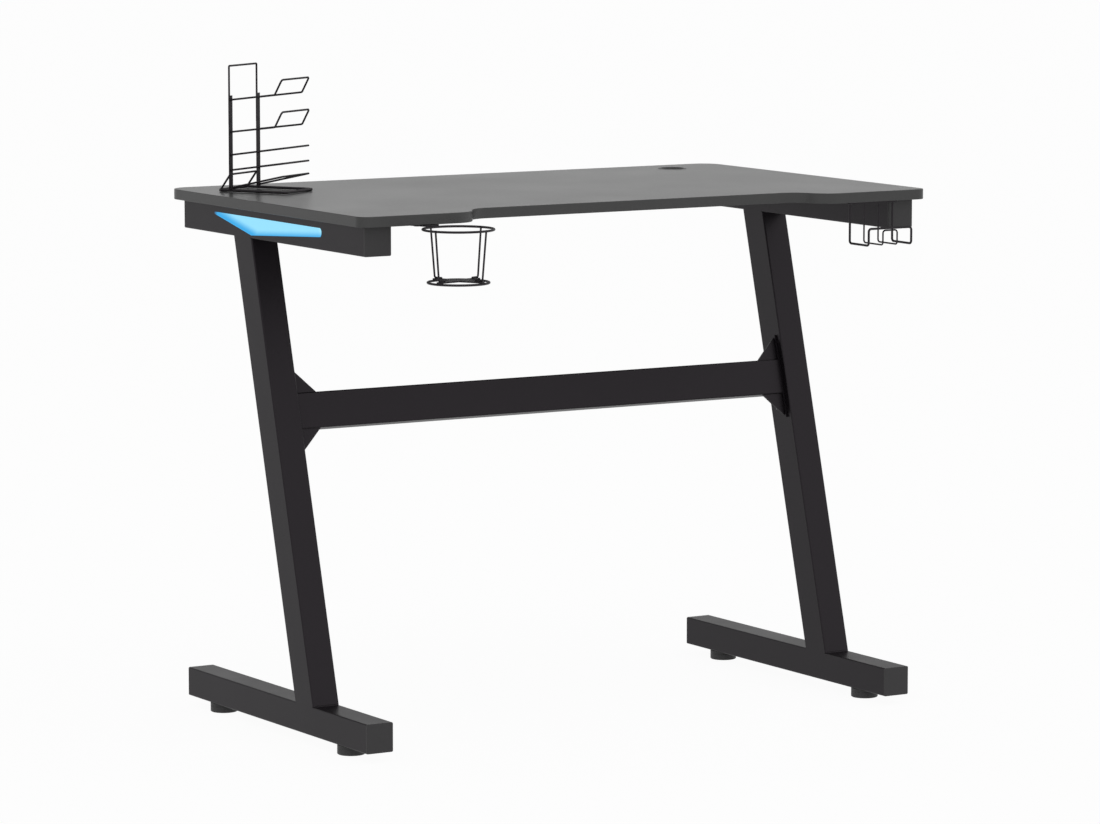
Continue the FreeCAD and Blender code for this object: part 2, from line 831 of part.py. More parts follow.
def end_plate_depths():
    """Front and back of the end plates across the leg."""
    front = stretcher_setback - leg_depth / 2
    return front, front + stretcher_depth + end_plate_margin


def stretcher_bolt_places():
    """Middle of each stretcher bolt on a leg's inner face, in the leg's frame."""
    low, high = stretcher_levels()
    middle = (low + high) / 2
    y = sum(end_plate_depths()) / 2
    return [(y, middle + side * stretcher_bolt_spacing / 2) for side in SIDES.values()]


def stretcher_beam_in_leg_frame():
    """Tube of the stretcher between its end plates."""
    low, high = stretcher_levels()
    half = rail_inner_x - end_plate_thickness
    beam = box_tube(stretcher_height, stretcher_depth, 2 * half)
    beam.rotate(V(0, 0, 0), Y_AXIS, 90)
    front = end_plate_depths()[0]
    beam.translate(V(-half, front + stretcher_depth / 2, (low + high) / 2))
    return beam


def end_plate_in_leg_frame(side):
    """Plate at one end of the stretcher, against the leg's inner face, tapered towards the back."""
    low, high = end_plate_levels()
    front, back = end_plate_depths()
    near = min(side * (rail_inner_x - end_plate_thickness), side * rail_inner_x)
    corners = [
        V(near, front, low),
        V(near, back, low + end_plate_taper),
        V(near, back, high - end_plate_taper),
        V(near, front, high),
    ]
    outline = Part.Face(Part.makePolygon(corners + corners[:1]))
    plate_shape = outline.extrude(V(end_plate_thickness, 0, 0))
    holes = []
    for y, z in stretcher_bolt_places():
        holes.append(rod(bolt_radius + hole_clearance, (near, y, z), (1, 0, 0), end_plate_thickness))
    return plate_shape.cut(holes)


def stretcher_beam():
    """Beam across the desk, leaning with the legs."""
    return leaned(stretcher_beam_in_leg_frame())


def stretcher_end_plates():
    """Two plates that bolt the stretcher to the legs."""
    return group([leaned(end_plate_in_leg_frame(side)) for side in SIDES.values()])


def stretcher_gussets():
    """Four triangles in the corners between the beam and its end plates."""
    low, high = stretcher_levels()
    y = gusset_setback - leg_depth / 2
    wall = rail_inner_x - end_plate_thickness
    gussets = []
    for side in SIDES.values():
        for level, rise in ((low, -gusset_size), (high, gusset_size)):
            corners = [
                V(side * wall, y, level),
                V(side * wall, y, level + rise),
                V(side * (wall - gusset_size), y, level),
            ]
            triangle = Part.Face(Part.makePolygon(corners + corners[:1]))
            gussets.append(leaned(triangle.extrude(V(0, gusset_thickness, 0))))
    return group(gussets)


def stretcher_bolts():
    """Bolts through the stretcher's end plates into the legs."""
    bolts = []
    for side in SIDES.values():
        for y, z in stretcher_bolt_places():
            seat = (side * (rail_inner_x - end_plate_thickness), y, z)
            bolt = rod(bolt_radius, seat, (side, 0, 0), bolt_length)
            bolts.append(leaned(bolt.fuse(rod(bolt_head_radius, seat, (-side, 0, 0), bolt_head_height))))
    return group(bolts)


def rivet_nuts():
    """Threaded sleeves in the legs' inner walls."""
    nuts = []
    for side in SIDES.values():
        for y, z in stretcher_bolt_places():
            start = (side * rail_inner_x, y, z)
            nut = rod(rivet_nut_radius, start, (side, 0, 0), rivet_nut_length)
            bore = rod(bolt_radius + thread_clearance, start, (side, 0, 0), rivet_nut_length)
            nuts.append(leaned(nut.cut(bore)))
    return group(nuts)


def cup_placed(shape):
    """Moves a shape from the cup holder's own frame to its place on the desk."""
    shape.rotate(V(0, 0, 0), Z_AXIS, cup_turn)
    shape.translate(V(cup_x, cup_y, cup_ring_z))
    return shape


def cup_ring(radius, z):
    """Wire ring of the cup holder."""
    return Part.makeTorus(radius, cup_ring_wire / 2, V(0, 0, z), Z_AXIS)


def cup_upright_turns():
    """Direction of each upright round the cup holder."""
    return [cup_upright_turn + cross + half for cross in (0, cup_cross_turn) for half in (0, 180)]


def cup_base_in_place():
    """Sheet cross that lies on the lower ring, in the cup holder's own frame."""
    height = V(0, 0, cup_base_thickness)
    arms = []
    for turn in (cup_upright_turn, cup_upright_turn + cup_cross_turn):
        arm = block((-cup_base_reach, -cup_base_arm / 2, 0), (cup_base_reach, cup_base_arm / 2, height.z))
        arm.rotate(V(0, 0, 0), Z_AXIS, turn)
        arms.append(arm)
    cross = arms[0].fuse(arms[1]).removeSplitter()
    inner = [e for e in cross.Edges if edge_stands(e) and e.CenterOfMass.Length < cup_base_reach / 2]
    cross = cross.makeFillet(cup_base_corner, inner)
    cross = cross.common(rod(cup_base_reach, (0, 0, 0), (0, 0, 1), cup_base_thickness))
    cross.translate(V(0, 0, cup_base_bottom))
    return cross.cut(cup_ring(cup_base_radius, -cup_height))


def cup_uprights():
    """Four wires from the upper ring down to the ends of the sheet cross."""
    level = cup_base_top + cup_upright_wire / 2 - cup_weld_depth
    foot_end = cup_base_radius - cup_upright_foot
    route = [(cup_ring_radius, 0, 0), (cup_base_radius, 0, level), (foot_end, 0, level)]
    ends = [cup_ring(cup_ring_radius, 0), cup_base_in_place()]
    uprights = []
    for turn in cup_upright_turns():
        wire = bent_wire(route, cup_upright_bend, cup_upright_wire)
        wire.rotate(V(0, 0, 0), Z_AXIS, turn)
        uprights.append(cup_placed(wire.cut(ends)))
    return group(uprights)


def cup_bracket():
    """Flat bracket from over the ring to the pivot screw."""
    half = cup_bracket_width / 2
    front = cup_ring_radius - cup_ring_wire / 2
    back = cup_pivot_reach + cup_bracket_tail
    corners = [(-half, front), (half, front), (half, back), (-half, back)]
    radii = [cup_bracket_front_corner] * 2 + [cup_bracket_back_corner] * 2
    bracket = moved(plate(corners, radii, cup_bracket_thickness), 0, 0, cup_ring_wire / 2)
    radius = cup_pivot_radius + running_clearance
    hole = rod(radius, (0, cup_pivot_reach, cup_ring_wire / 2), (0, 0, 1), cup_bracket_thickness)
    return cup_placed(bracket.cut(hole))


def cup_pivot_screw():
    """Screw on which the cup holder swings."""
    x, y = cup_pivot_place()
    stack = cup_bracket_thickness + 2 * moving_gap
    length = stack + cup_pivot_bite
    screw = pan_screw(cup_pivot_radius, cup_pivot_head_radius, cup_pivot_head_height, length)
    return moved(screw, x, y, underside - stack)


def hook_wire(outer, lip, diameter):
    """Wire bent into two hooks that share a bar across their tips."""
    inset = 0 if outer else hook_pitch
    right = hook_right_x - inset
    left = hook_right_x - hook_span + inset
    rear = -half_depth + hook_behind_edge
    front = rear - hook_reach
    top = underside - hook_plate_thickness
    floor = underside - hook_drop
    tip = floor + lip
    points = [(left, rear, top), (left, rear, floor), (left, front, floor), (left, front, tip)]
    points += [(right, front, tip), (right, front, floor), (right, rear, floor), (right, rear, top)]
    return bent_wire(points, hook_bend, diameter)


def hook_plate():
    """Plate under the board that carries the hook's wires."""
    right = hook_right_x + hook_plate_end
    left = hook_right_x - hook_span - hook_plate_end
    middle = (left + right) / 2
    rear = -half_depth + hook_behind_edge
    front = rear - hook_plate_front
    step = rear + hook_plate_back
    back = step + hook_tongue_depth
    half = hook_tongue_width / 2
    corners = [(left, front), (right, front), (right, step), (middle + half, step)]
    corners += [(middle + half, back), (middle - half, back), (middle - half, step), (left, step)]
    radii = [hook_plate_corner, hook_plate_corner, hook_plate_corner, 0]
    radii += [hook_plate_corner, hook_plate_corner, 0, hook_plate_corner]
    shape = moved(plate(corners, radii, hook_plate_thickness), 0, 0, underside - hook_plate_thickness)
    holes = []
    for x, y in hook_screw_places():
        start = (x, y, underside - hook_plate_thickness)
        holes.append(rod(hook_screw_radius + hole_clearance, start, (0, 0, 1), hook_plate_thickness))
    return shape.cut(holes)


def hook_screws():
    """Screws through the hook's plate into the board."""
    length = hook_plate_thickness + hook_screw_bite
    screw = pan_screw(hook_screw_radius, hook_screw_head_radius, hook_screw_head_height, length)
    return group([moved(screw, x, y, underside - hook_plate_thickness) for x, y in hook_screw_places()])


def rack_placed(shape):
    """Moves a shape from the rack's own frame (between its posts, on the board) to its place."""
    shape.rotate(V(0, 0, 0), Z_AXIS, rack_turn)
    shape.translate(V(-half_width + rack_from_side, half_depth - rack_from_back, top_height + moving_gap))
    return shape


def rack_loop_in_place():
    """Base loop in the rack's own frame."""
    half = rack_width / 2
    z = rack_bar / 2
    back = rack_base_behind
    front = -rack_base_ahead
    points = [(-half, back, z), (-half, front, z), (half, front, z), (half, back, z)]
    return bent_wire(points, rack_bar_corner, rack_bar, True)


def rack_post_in_place(side):
    """Strip post in the rack's own frame, seated on the base loop."""
    x = side * rack_width / 2
    half = rack_post_width / 2
    low = (x - half, -rack_post_thickness / 2, rack_bar - rack_post_seat)
    post = block(low, (x + half, rack_post_thickness / 2, rack_post_height))
    return post.cut(rack_loop_in_place())


def rack_rear_brace():
    """Wire brace from the loop's rear corners up to the posts."""
    corner_inset = rack_bar_corner * (1 - math.sqrt(0.5))
    x = rack_width / 2 - corner_inset
    foot = (rack_base_behind - corner_inset, rack_bar / 2)
    head = (rack_post_thickness / 2 + rack_brace_wire / 2, rack_brace_height)
    points = [(-x, *foot), (-x, *head), (x, *head), (x, *foot)]
    brace = bent_wire(points, rack_wire_bend, rack_brace_wire)
    return rack_placed(brace.cut(rack_loop_in_place()))


def rack_top_frame():
    """Thin wire frame that rises behind the posts."""
    x = rack_width / 2
    y = rack_post_thickness / 2 + rack_wire / 2
    foot = rack_post_height - rack_frame_overlap
    head = rack_frame_height - rack_wire / 2
    points = [(-x, y, foot), (-x, y, head), (x, y, head), (x, y, foot)]
    return rack_placed(bent_wire(points, rack_frame_bend, rack_wire))


def rack_fork(height, steps):
    """Wire fork that runs out from both posts; each step is a reach and a rise."""
    x = rack_width / 2
    y = 0.0
    z = height
    side = [(y, z)]
    for reach, rise in steps:
        y -= reach
        z += rise
        side.append((y, z))
    points = [(-x, *p) for p in side] + [(x, *p) for p in reversed(side)]
    fork = bent_wire(points, rack_wire_bend, rack_wire)
    return rack_placed(fork.cut([rack_post_in_place(-1), rack_post_in_place(1)]))


def rack_arm(height):
    """Controller arm: a fork with an upturned end."""
    rise = rack_arm_reach * math.tan(math.radians(rack_arm_tilt))
    return rack_fork(height, [(rack_arm_reach, rise), (rack_arm_tip_reach, rack_arm_tip_rise)])


def rack_shelf(height, tilt):
    """Disc shelf: a plain fork."""
    return rack_fork(height, [(rack_shelf_reach, rack_shelf_reach * math.tan(math.radians(tilt)))])


def desk_nodes():
    """Every sub-part by its name, in the desk's own frame."""
    nodes = {
        "tabletop_board": tabletop_board(),
        "edge_band": edge_band(),
        "cable_grommet": cable_grommet(),
        "rail_inserts": rail_inserts(),
        "rail_screws": rail_screws(),
        "top_rail_end_caps": end_caps(rail_bottom, rail_height),
        "foot_rail_end_caps": end_caps(foot_bottom, foot_height),
        "glide_nuts": glide_nuts(),
        "lead_bushes": lead_bushes(),
        "lead_clips": lead_clips(),
        "control_box": control_box(),
        "control_board": control_board(),
        "light_button": light_button(),
        "power_inlet": power_inlet(),
        "control_box_screws": control_box_screws(),
        "stretcher_beam": stretcher_beam(),
        "stretcher_end_plates": stretcher_end_plates(),
        "stretcher_gussets": stretcher_gussets(),
        "stretcher_bolts": stretcher_bolts(),
        "rivet_nuts": rivet_nuts(),
        "cup_upper_ring": cup_placed(cup_ring(cup_ring_radius, 0)),
        "cup_lower_ring": cup_placed(cup_ring(cup_base_radius, -cup_height)),
        "cup_uprights": cup_uprights(),
        "cup_base_cross": cup_placed(cup_base_in_place()),
        "cup_bracket": cup_bracket(),
        "cup_pivot_screw": cup_pivot_screw(),
        "hook_outer_wire": hook_wire(True, hook_outer_lip, hook_outer_wire_diameter),
        "hook_inner_wire": hook_wire(False, hook_inner_lip, hook_inner_wire_diameter),
        "hook_plate": hook_plate(),
        "hook_screws": hook_screws(),
        "rack_base_loop": rack_placed(rack_loop_in_place()),
        "rack_rear_brace": rack_rear_brace(),
        "rack_top_frame": rack_top_frame(),
        "rack_upper_arm": rack_arm(rack_upper_arm_height),
        "rack_lower_arm": rack_arm(rack_lower_arm_height),
        "rack_upper_shelf": rack_shelf(rack_upper_shelf_height, rack_upper_shelf_tilt),
        "rack_middle_shelf": rack_shelf(rack_middle_shelf_height, rack_middle_shelf_tilt),
        "rack_lower_shelf": rack_shelf(rack_lower_shelf_height, rack_lower_shelf_tilt),
    }
    for name, side in SIDES.items():
        nodes[f"{name}_top_rail"] = top_rail(side)
        nodes[f"{name}_leg"] = leg(side)
        nodes[f"{name}_foot_rail"] = foot_rail(side)
        nodes[f"{name}_light_panel"] = light_panel(side)
        nodes[f"{name}_led_strip"] = led_strip(side)
        nodes[f"{name}_led_lead"] = led_lead(side)
        nodes[f"rack_{name}_post"] = rack_placed(rack_post_in_place(side))
        for row, y in glide_rows().items():
            nodes[f"{row}_{name}_glide"] = glide(side, y)
    return nodes


def main():
    """Builds every sub-part and writes one file for each."""
    os.makedirs("parts", exist_ok=True)
    for name, shape in desk_nodes().items():
        shape.translate(footprint_shift)
        if not shape.isValid() or not shape.Solids:
            print("check", name, "valid", shape.isValid(), "solids", len(shape.Solids))
        shape.exportStep(f"parts/{name}.step")


main()
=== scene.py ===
"""Dresses the Z-frame gaming desk.

Every solid gets its finish, and the welds, screws, glides and other turned fittings get
meshes of their own. Metres, +Z up, -Y towards the sitter.
"""
import logging
import math
from collections.abc import Callable, Iterable
from dataclasses import dataclass
from enum import Enum
from typing import Any

import bmesh
import bpy
from mathutils import Matrix, Vector


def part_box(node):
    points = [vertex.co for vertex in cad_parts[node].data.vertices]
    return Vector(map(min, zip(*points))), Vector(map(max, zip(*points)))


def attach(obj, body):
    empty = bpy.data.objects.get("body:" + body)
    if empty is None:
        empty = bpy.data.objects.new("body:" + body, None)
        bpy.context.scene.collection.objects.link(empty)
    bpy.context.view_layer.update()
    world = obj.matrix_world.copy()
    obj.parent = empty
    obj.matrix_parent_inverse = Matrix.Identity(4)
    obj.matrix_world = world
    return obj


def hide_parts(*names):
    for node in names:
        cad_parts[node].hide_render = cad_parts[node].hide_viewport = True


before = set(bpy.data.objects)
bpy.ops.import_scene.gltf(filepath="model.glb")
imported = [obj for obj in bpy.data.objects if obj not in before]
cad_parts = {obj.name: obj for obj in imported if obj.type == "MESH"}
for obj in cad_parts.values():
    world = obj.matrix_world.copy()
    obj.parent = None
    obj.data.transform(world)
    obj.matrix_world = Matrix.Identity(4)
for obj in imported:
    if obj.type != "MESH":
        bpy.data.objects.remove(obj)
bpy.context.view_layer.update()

LOG = logging.getLogger("desk")
MM = 0.001
UP = Vector((0, 0, 1))
ACROSS = Vector((1, 0, 0))
SIDES = {"left": -1, "right": 1}

Color = tuple[float, float, float]
Outline = Callable[[float], float]
Profile = list[tuple[Outline, float]]
Ring = list[Vector]


class Slot(Enum):
    """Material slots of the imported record."""

    BOARD = "board_laminate"
    BAND = "edge_band"
    PLASTIC = "black_plastic"
    NYLON = "glide_nylon"
    FRAME = "frame_paint"
    WIRE = "wire_paint"
    BRASS = "brass"
    STEEL = "screw_steel"
    PANEL = "lit_panel"
    STRIP = "led_strip"
    RUBBER = "black_rubber"
    CIRCUIT = "circuit"
    BUTTON = "button"


class Drive(Enum):
    """Recess in a screw's head."""

    HEX = "hex"
    CROSS = "cross"


class Signal:
    """Output of a node, which Python's operators join into Math nodes."""

    def __init__(self, recipe: "Recipe", socket: bpy.types.NodeSocket) -> None:
        """Keeps the socket and the recipe that it belongs to."""
        self.recipe = recipe
        self.socket = socket

    def math(self, operation: str, *values: "float | Signal") -> "Signal":
        """Adds a Math node.

        Args:
            operation: What the node works out.
            values: Its inputs, in order.

        Returns:
            The node's result.
        """
        return self.recipe.node("ShaderNodeMath", {"operation": operation}, dict(enumerate(values)))

    def __add__(self, other: "float | Signal") -> "Signal":
        """Sum of two values."""
        return self.math("ADD", self, other)

    def __radd__(self, other: float) -> "Signal":
        """Sum of a number and a value."""
        return self.math("ADD", other, self)

    def __sub__(self, other: "float | Signal") -> "Signal":
        """Difference of two values."""
        return self.math("SUBTRACT", self, other)

    def __rsub__(self, other: float) -> "Signal":
        """A number less a value."""
        return self.math("SUBTRACT", other, self)

    def __mul__(self, other: "float | Signal") -> "Signal":
        """Product of two values."""
        return self.math("MULTIPLY", self, other)

    def __rmul__(self, other: float) -> "Signal":
        """Product of a number and a value."""
        return self.math("MULTIPLY", other, self)

    def size(self) -> "Signal":
        """The value without its sign."""
        return self.math("ABSOLUTE", self)

    def lesser(self, other: "float | Signal") -> "Signal":
        """The smaller of two values."""
        return self.math("MINIMUM", self, other)

    def greater(self, other: "float | Signal") -> "Signal":
        """The larger of two values."""
        return self.math("MAXIMUM", self, other)

    def rise(self, low: float, high: float) -> "Signal":
        """Smooth step over a range of the value.

        Args:
            low: Where the step starts.
            high: Where it ends.

        Returns:
            A value from 0 to 1.
        """
        settings = {"interpolation_type": "SMOOTHSTEP"}
        sockets = {"Value": self, "From Min": low, "From Max": high}
        return self.recipe.node("ShaderNodeMapRange", settings, sockets)


class Recipe:
    """Node tree of a material or of the world, built from nothing."""

    def __init__(self, owner: "bpy.types.Material | bpy.types.World") -> None:
        """Empties the owner's node tree.

        Args:
            owner: The material or world that the tree belongs to.
        """
        owner.use_nodes = True
        self.owner = owner
        self.tree = owner.node_tree
        self.tree.nodes.clear()

    def node(
        self, kind: str, settings: dict[str, Any], sockets: dict[Any, Any], output: int | str = 0
    ) -> "Signal | None":
        """Adds one node.

        Args:
            kind: The node's type.
            settings: Its own settings, set before its sockets.
            sockets: Values or signals for its inputs, by name or place.
            output: The output that is wanted, by name or place.

        Returns:
            That output, or None for a node that has none.
        """
        made = self.tree.nodes.new(kind)
        for key, value in settings.items():
            setattr(made, key, value)
        for key, value in sockets.items():
            socket = made.inputs[key]
            if isinstance(value, Signal):
                self.tree.links.new(value.socket, socket)
            elif socket.type == "RGBA":
                socket.default_value = (*value, 1)
            else:
                socket.default_value = value
        return Signal(self, made.outputs[output]) if made.outputs else None

    def place(self) -> Signal:
        """Point of the surface in the desk's frame, which moves with the piece."""
        return self.node("ShaderNodeTexCoord", {}, {}, "Object")

    def axis(self, name: str) -> Signal:
        """One coordinate of the surface's point."""
        return self.node("ShaderNodeSeparateXYZ", {}, {"Vector": self.place()}, name)

    def noise(self, size: float, detail: float = 2.0, stretch: Color = (1, 1, 1)) -> Signal:
        """Cloudy pattern.

        Args:
            size: Rough size of its blots.
            detail: Octaves of finer blots.
            stretch: How many times finer it is along each axis.

        Returns:
            A value from 0 to 1.
        """
        settings = {"operation": "MULTIPLY"}
        spread = self.node("ShaderNodeVectorMath", settings, {0: self.place(), 1: stretch})
        sockets = {"Vector": spread, "Scale": 1 / size, "Detail": detail}
        return self.node("ShaderNodeTexNoise", {}, sockets)

    def cells(self, size: float) -> Signal:
        """Pebbled pattern: the distance to the nearest of many scattered points."""
        return self.node("ShaderNodeTexVoronoi", {}, {"Vector": self.place(), "Scale": 1 / size})

    def blend(self, mask: Signal, low: "Color | Signal", high: "Color | Signal") -> Signal:
        """Colour between two others.

        Args:
            mask: Share of the second colour.
            low: Colour where the mask is 0.
            high: Colour where the mask is 1.

        Returns:
            The mixed colour.
        """
        return self.node("ShaderNodeMix", {"data_type": "RGBA"}, {0: mask, 6: low, 7: high}, 2)

    def toned(self, mask: Signal, color: Color, spread: float) -> Signal:
        """Colour that wanders darker and lighter with a mask.

        Args:
            mask: A value from 0 to 1.
            color: The mean colour.
            spread: Share by which it goes either way.

        Returns:
            The wandering colour.
        """
        low = tuple(c * (1 - spread) for c in color)
        high = tuple(c * (1 + spread) for c in color)
        return self.blend(mask, low, high)

    def bump(self, height: Signal, depth: float) -> Signal:
        """Normal of a surface that is raised by a height times a depth in metres."""
        return self.node("ShaderNodeBump", {}, {"Height": height, "Distance": depth}, "Normal")

    def surface(self, sockets: dict[str, Any]) -> "bpy.types.Material | bpy.types.World":
        """Ends the tree in one principled surface.

        Args:
            sockets: Values or signals for the surface's inputs.

        Returns:
            The owner of the tree.
        """
        shader = self.node("ShaderNodeBsdfPrincipled", {}, sockets)
        self.node("ShaderNodeOutputMaterial", {}, {"Surface": shader})
        return self.owner


@dataclass(frozen=True)
class Finish:
    """A surface finish of one material slot."""

    slot: Slot

    def recipe(self) -> Recipe:
        """Empty recipe under the slot's name."""
        return Recipe(bpy.data.materials.new(self.slot.value))

    def material(self) -> bpy.types.Material:
        """The finished material."""
        raise NotImplementedError


@dataclass(frozen=True)
class PowderCoat(Finish):
    """Baked paint: a nearly even colour with the skin of an orange."""

    color: Color
    roughness: float
    gloss: float
    tint: Color = (1.0, 0.91, 1.0)
    tone_spread: float = 0.25
    cloud_size: float = 90 * MM
    speckle_size: float = 0.5 * MM
    peel_size: float = 1.6 * MM
    peel_depth: float = 0.02 * MM

    def material(self) -> bpy.types.Material:
        """Paint with faint clouds, a fine speckle and its peel.

        Returns:
            The paint.
        """
        recipe = self.recipe()
        cloud = recipe.noise(self.cloud_size, 3.0)
        speckle = recipe.noise(self.speckle_size, 1.0)
        peel = recipe.noise(self.peel_size)
        return recipe.surface(
            {
                "Base Color": recipe.toned(0.6 * cloud + 0.4 * speckle, self.color, self.tone_spread),
                "Roughness": self.roughness - 0.05 + 0.1 * cloud,
                "Specular IOR Level": self.gloss,
                "Specular Tint": self.tint,
                "Normal": recipe.bump(peel + 0.4 * speckle, self.peel_depth),
            }
        )


@dataclass(frozen=True)
class Laminate(Finish):
    """Dark grey laminate: short pores that run along the board, and a satin sheen."""

    color: Color
    roughness: float
    gloss: float
    tone_spread: float = 0.2
    cloud_size: float = 140 * MM
    speckle_size: float = 0.7 * MM
    pore_width: float = 0.4 * MM
    pore_stretch: Color = (0.08, 1, 1)
    pore_depth: float = 0.012 * MM

    def material(self) -> bpy.types.Material:
        """Laminate with pores, speckle and slow changes of tone.

        Returns:
            The laminate.
        """
        recipe = self.recipe()
        cloud = recipe.noise(self.cloud_size)
        pores = recipe.noise(self.pore_width, stretch=self.pore_stretch).rise(0.35, 0.7)
        speckle = recipe.noise(self.speckle_size, 1.0)
        tone = 0.3 * cloud + 0.45 * pores + 0.25 * speckle
        return recipe.surface(
            {
                "Base Color": recipe.toned(tone, self.color, self.tone_spread),
                "Roughness": self.roughness - 0.03 + 0.06 * cloud,
                "Specular IOR Level": self.gloss,
                "Normal": recipe.bump(pores + 0.5 * speckle, self.pore_depth),
            }
        )


@dataclass(frozen=True)
class Moulding(Finish):
    """Moulded plastic or rubber with the fine pebble of an etched mould."""

    color: Color
    roughness: float
    gloss: float
    tone_spread: float = 0.2
    flow_size: float = 25 * MM
    pebble_size: float = 0.7 * MM
    pebble_depth: float = 0.015 * MM

    def material(self) -> bpy.types.Material:
        """Plastic with pebbles and faint flow marks.

        Returns:
            The plastic.
        """
        recipe = self.recipe()
        flow = recipe.noise(self.flow_size, 3.0)
        pebbles = recipe.cells(self.pebble_size)
        return recipe.surface(
            {
                "Base Color": recipe.toned(0.6 * flow + 0.4 * pebbles, self.color, self.tone_spread),
                "Roughness": self.roughness - 0.06 + 0.12 * flow,
                "Specular IOR Level": self.gloss,
                "Normal": recipe.bump(pebbles, self.pebble_depth),
            }
        )


@dataclass(frozen=True)
class BareMetal(Finish):
    """Plated steel or turned brass, with fine tool marks and a little tarnish."""

    color: Color
    roughness: float
    tone_spread: float = 0.3
    tarnish_size: float = 4 * MM
    mark_size: float = 0.3 * MM
    mark_stretch: Color = (0.2, 0.2, 1)
    mark_depth: float = 0.006 * MM

    def material(self) -> bpy.types.Material:
        """Metal with turning marks and tarnished clouds.

        Returns:
            The metal.
        """
        recipe = self.recipe()
        tarnish = recipe.noise(self.tarnish_size, 3.0)
        marks = recipe.noise(self.mark_size, stretch=self.mark_stretch)
        return recipe.surface(
            {
                "Base Color": recipe.toned(tarnish, self.color, self.tone_spread),
                "Metallic": 1.0,
                "Roughness": self.roughness - 0.1 + 0.12 * tarnish + 0.08 * marks,
                "Normal": recipe.bump(marks, self.mark_depth),
            }
        )


@dataclass(frozen=True)
class LitDiffuser(Finish):
    """Blade-shaped diffuser, lit from behind, whose glow carries painted shade towards its two lower edges
    and its tip, and a painted highlight at its nose.
    """

    knee: tuple[float, float]
    tip: tuple[float, float]
    nose: tuple[float, float]
    glow: Color = (0.275, 0.705, 0.94)
    # Painted shade: colour of the glow along the lower edges, standing in for the shade of a bevelled
    # edge.
    edge_shade: Color = (0.008, 0.36, 0.76)
    # Painted highlight: paler colour of the glow at the nose.
    pale: Color = (0.36, 0.78, 0.94)
    # Darker glow at the tip's very end: partly the strip's light falling off there, partly painted shade.
    tip_end_shade: Color = (0.015, 0.07, 0.16)
    body_color: Color = (0.02, 0.05, 0.07)
    gloss: float = 0.25
    ripple_size: float = 9 * MM
    # Widths of the painted shade along the rear and front lower edges.
    rear_shade_fade: tuple[float, float] = (2 * MM, 14 * MM)
    front_shade_fade: tuple[float, float] = (-1.5 * MM, 9 * MM)
    # Painted shade over the tip region, and the stretch at the very end that is partly light fall-off and
    # partly painted shade.
    tip_shade_fade: float = 60 * MM
    tip_shade_share: float = 0.4
    tip_end_shade_width: float = 10 * MM
    # Width of the painted highlight at the nose.
    nose_highlight_width: float = 9 * MM

    def edge_distance(self, recipe: Recipe, end: tuple[float, float]) -> Signal:
        """How far a point lies above the edge from the knee.

        Args:
            recipe: The material's recipe.
            end: The edge's other end, along the rail and up.

        Returns:
            The distance in metres.
        """
        along = end[0] - self.knee[0]
        up = end[1] - self.knee[1]
        length = math.hypot(along, up)
        rise = recipe.axis("Z") - self.knee[1]
        run = recipe.axis("Y") - self.knee[0]
        return (abs(along) * rise - math.copysign(up, along) * run) * (1 / length)

    def material(self) -> bpy.types.Material:
        """Glow with painted shade along the lower edges and at the tip, and a painted highlight at the
        nose.

        Returns:
            The lit panel's material.
        """
        recipe = self.recipe()
        # Painted shade: the glow deepens towards the rear and front lower edges.
        rear = self.edge_distance(recipe, self.tip).rise(*self.rear_shade_fade)
        front = self.edge_distance(recipe, self.nose).rise(*self.front_shade_fade)
        # Painted shade over the tip region: the glow deepens towards the tip, with a faint random ripple.
        from_tip = (self.tip[0] - recipe.axis("Y")).rise(0, self.tip_shade_fade)
        ripple = recipe.noise(self.ripple_size)
        tip_shade_and_ripple = (self.tip_shade_share + (1 - self.tip_shade_share) * from_tip) * (0.95 + 0.1 * ripple)
        lit = rear.lesser(front) * tip_shade_and_ripple
        # Painted highlight: the glow turns paler towards the nose.
        end = 1 - (recipe.axis("Y") - self.nose[0]).rise(0, self.nose_highlight_width)
        color = recipe.blend(lit, self.edge_shade, recipe.blend(end, self.glow, self.pale))
        # Tip's very end darker: partly the strip's light falling off, partly painted shade.
        bright = (self.tip[0] - recipe.axis("Y")).rise(0, self.tip_end_shade_width)
        return recipe.surface(
            {
                "Base Color": recipe.toned(ripple, self.body_color, 0.2),
                "Roughness": 0.3 + 0.1 * ripple,
                "Specular IOR Level": self.gloss,
                "Emission Color": recipe.blend(bright, self.tip_end_shade, color),
                "Emission Strength": 1.0,
            }
        )


@dataclass(frozen=True)
class LampStrip(Finish):
    """White strip whose raised lamps glow."""

    lamp_face: float
    board_color: Color = (0.75, 0.78, 0.8)
    lamp_color: Color = (0.85, 0.8, 0.45)
    glow: Color = (0.3, 0.75, 1.0)
    unlit: Color = (0, 0, 0)
    grain_size: float = 1.5 * MM
    lamp_edge: float = 0.1 * MM

    def material(self) -> bpy.types.Material:
        """Board and lamps told apart by how far they stand from the rail's wall.

        Returns:
            The strip's material.
        """
        recipe = self.recipe()
        grain = recipe.noise(self.grain_size)
        lamp = recipe.axis("X").size().rise(self.lamp_face, self.lamp_face + self.lamp_edge)
        board = recipe.toned(grain, self.board_color, 0.08)
        return recipe.surface(
            {
                "Base Color": recipe.blend(lamp, board, self.lamp_color),
                "Roughness": 0.4 + 0.2 * grain,
                "Emission Color": recipe.blend(lamp, self.unlit, self.glow),
                "Emission Strength": 1.0,
            }
        )


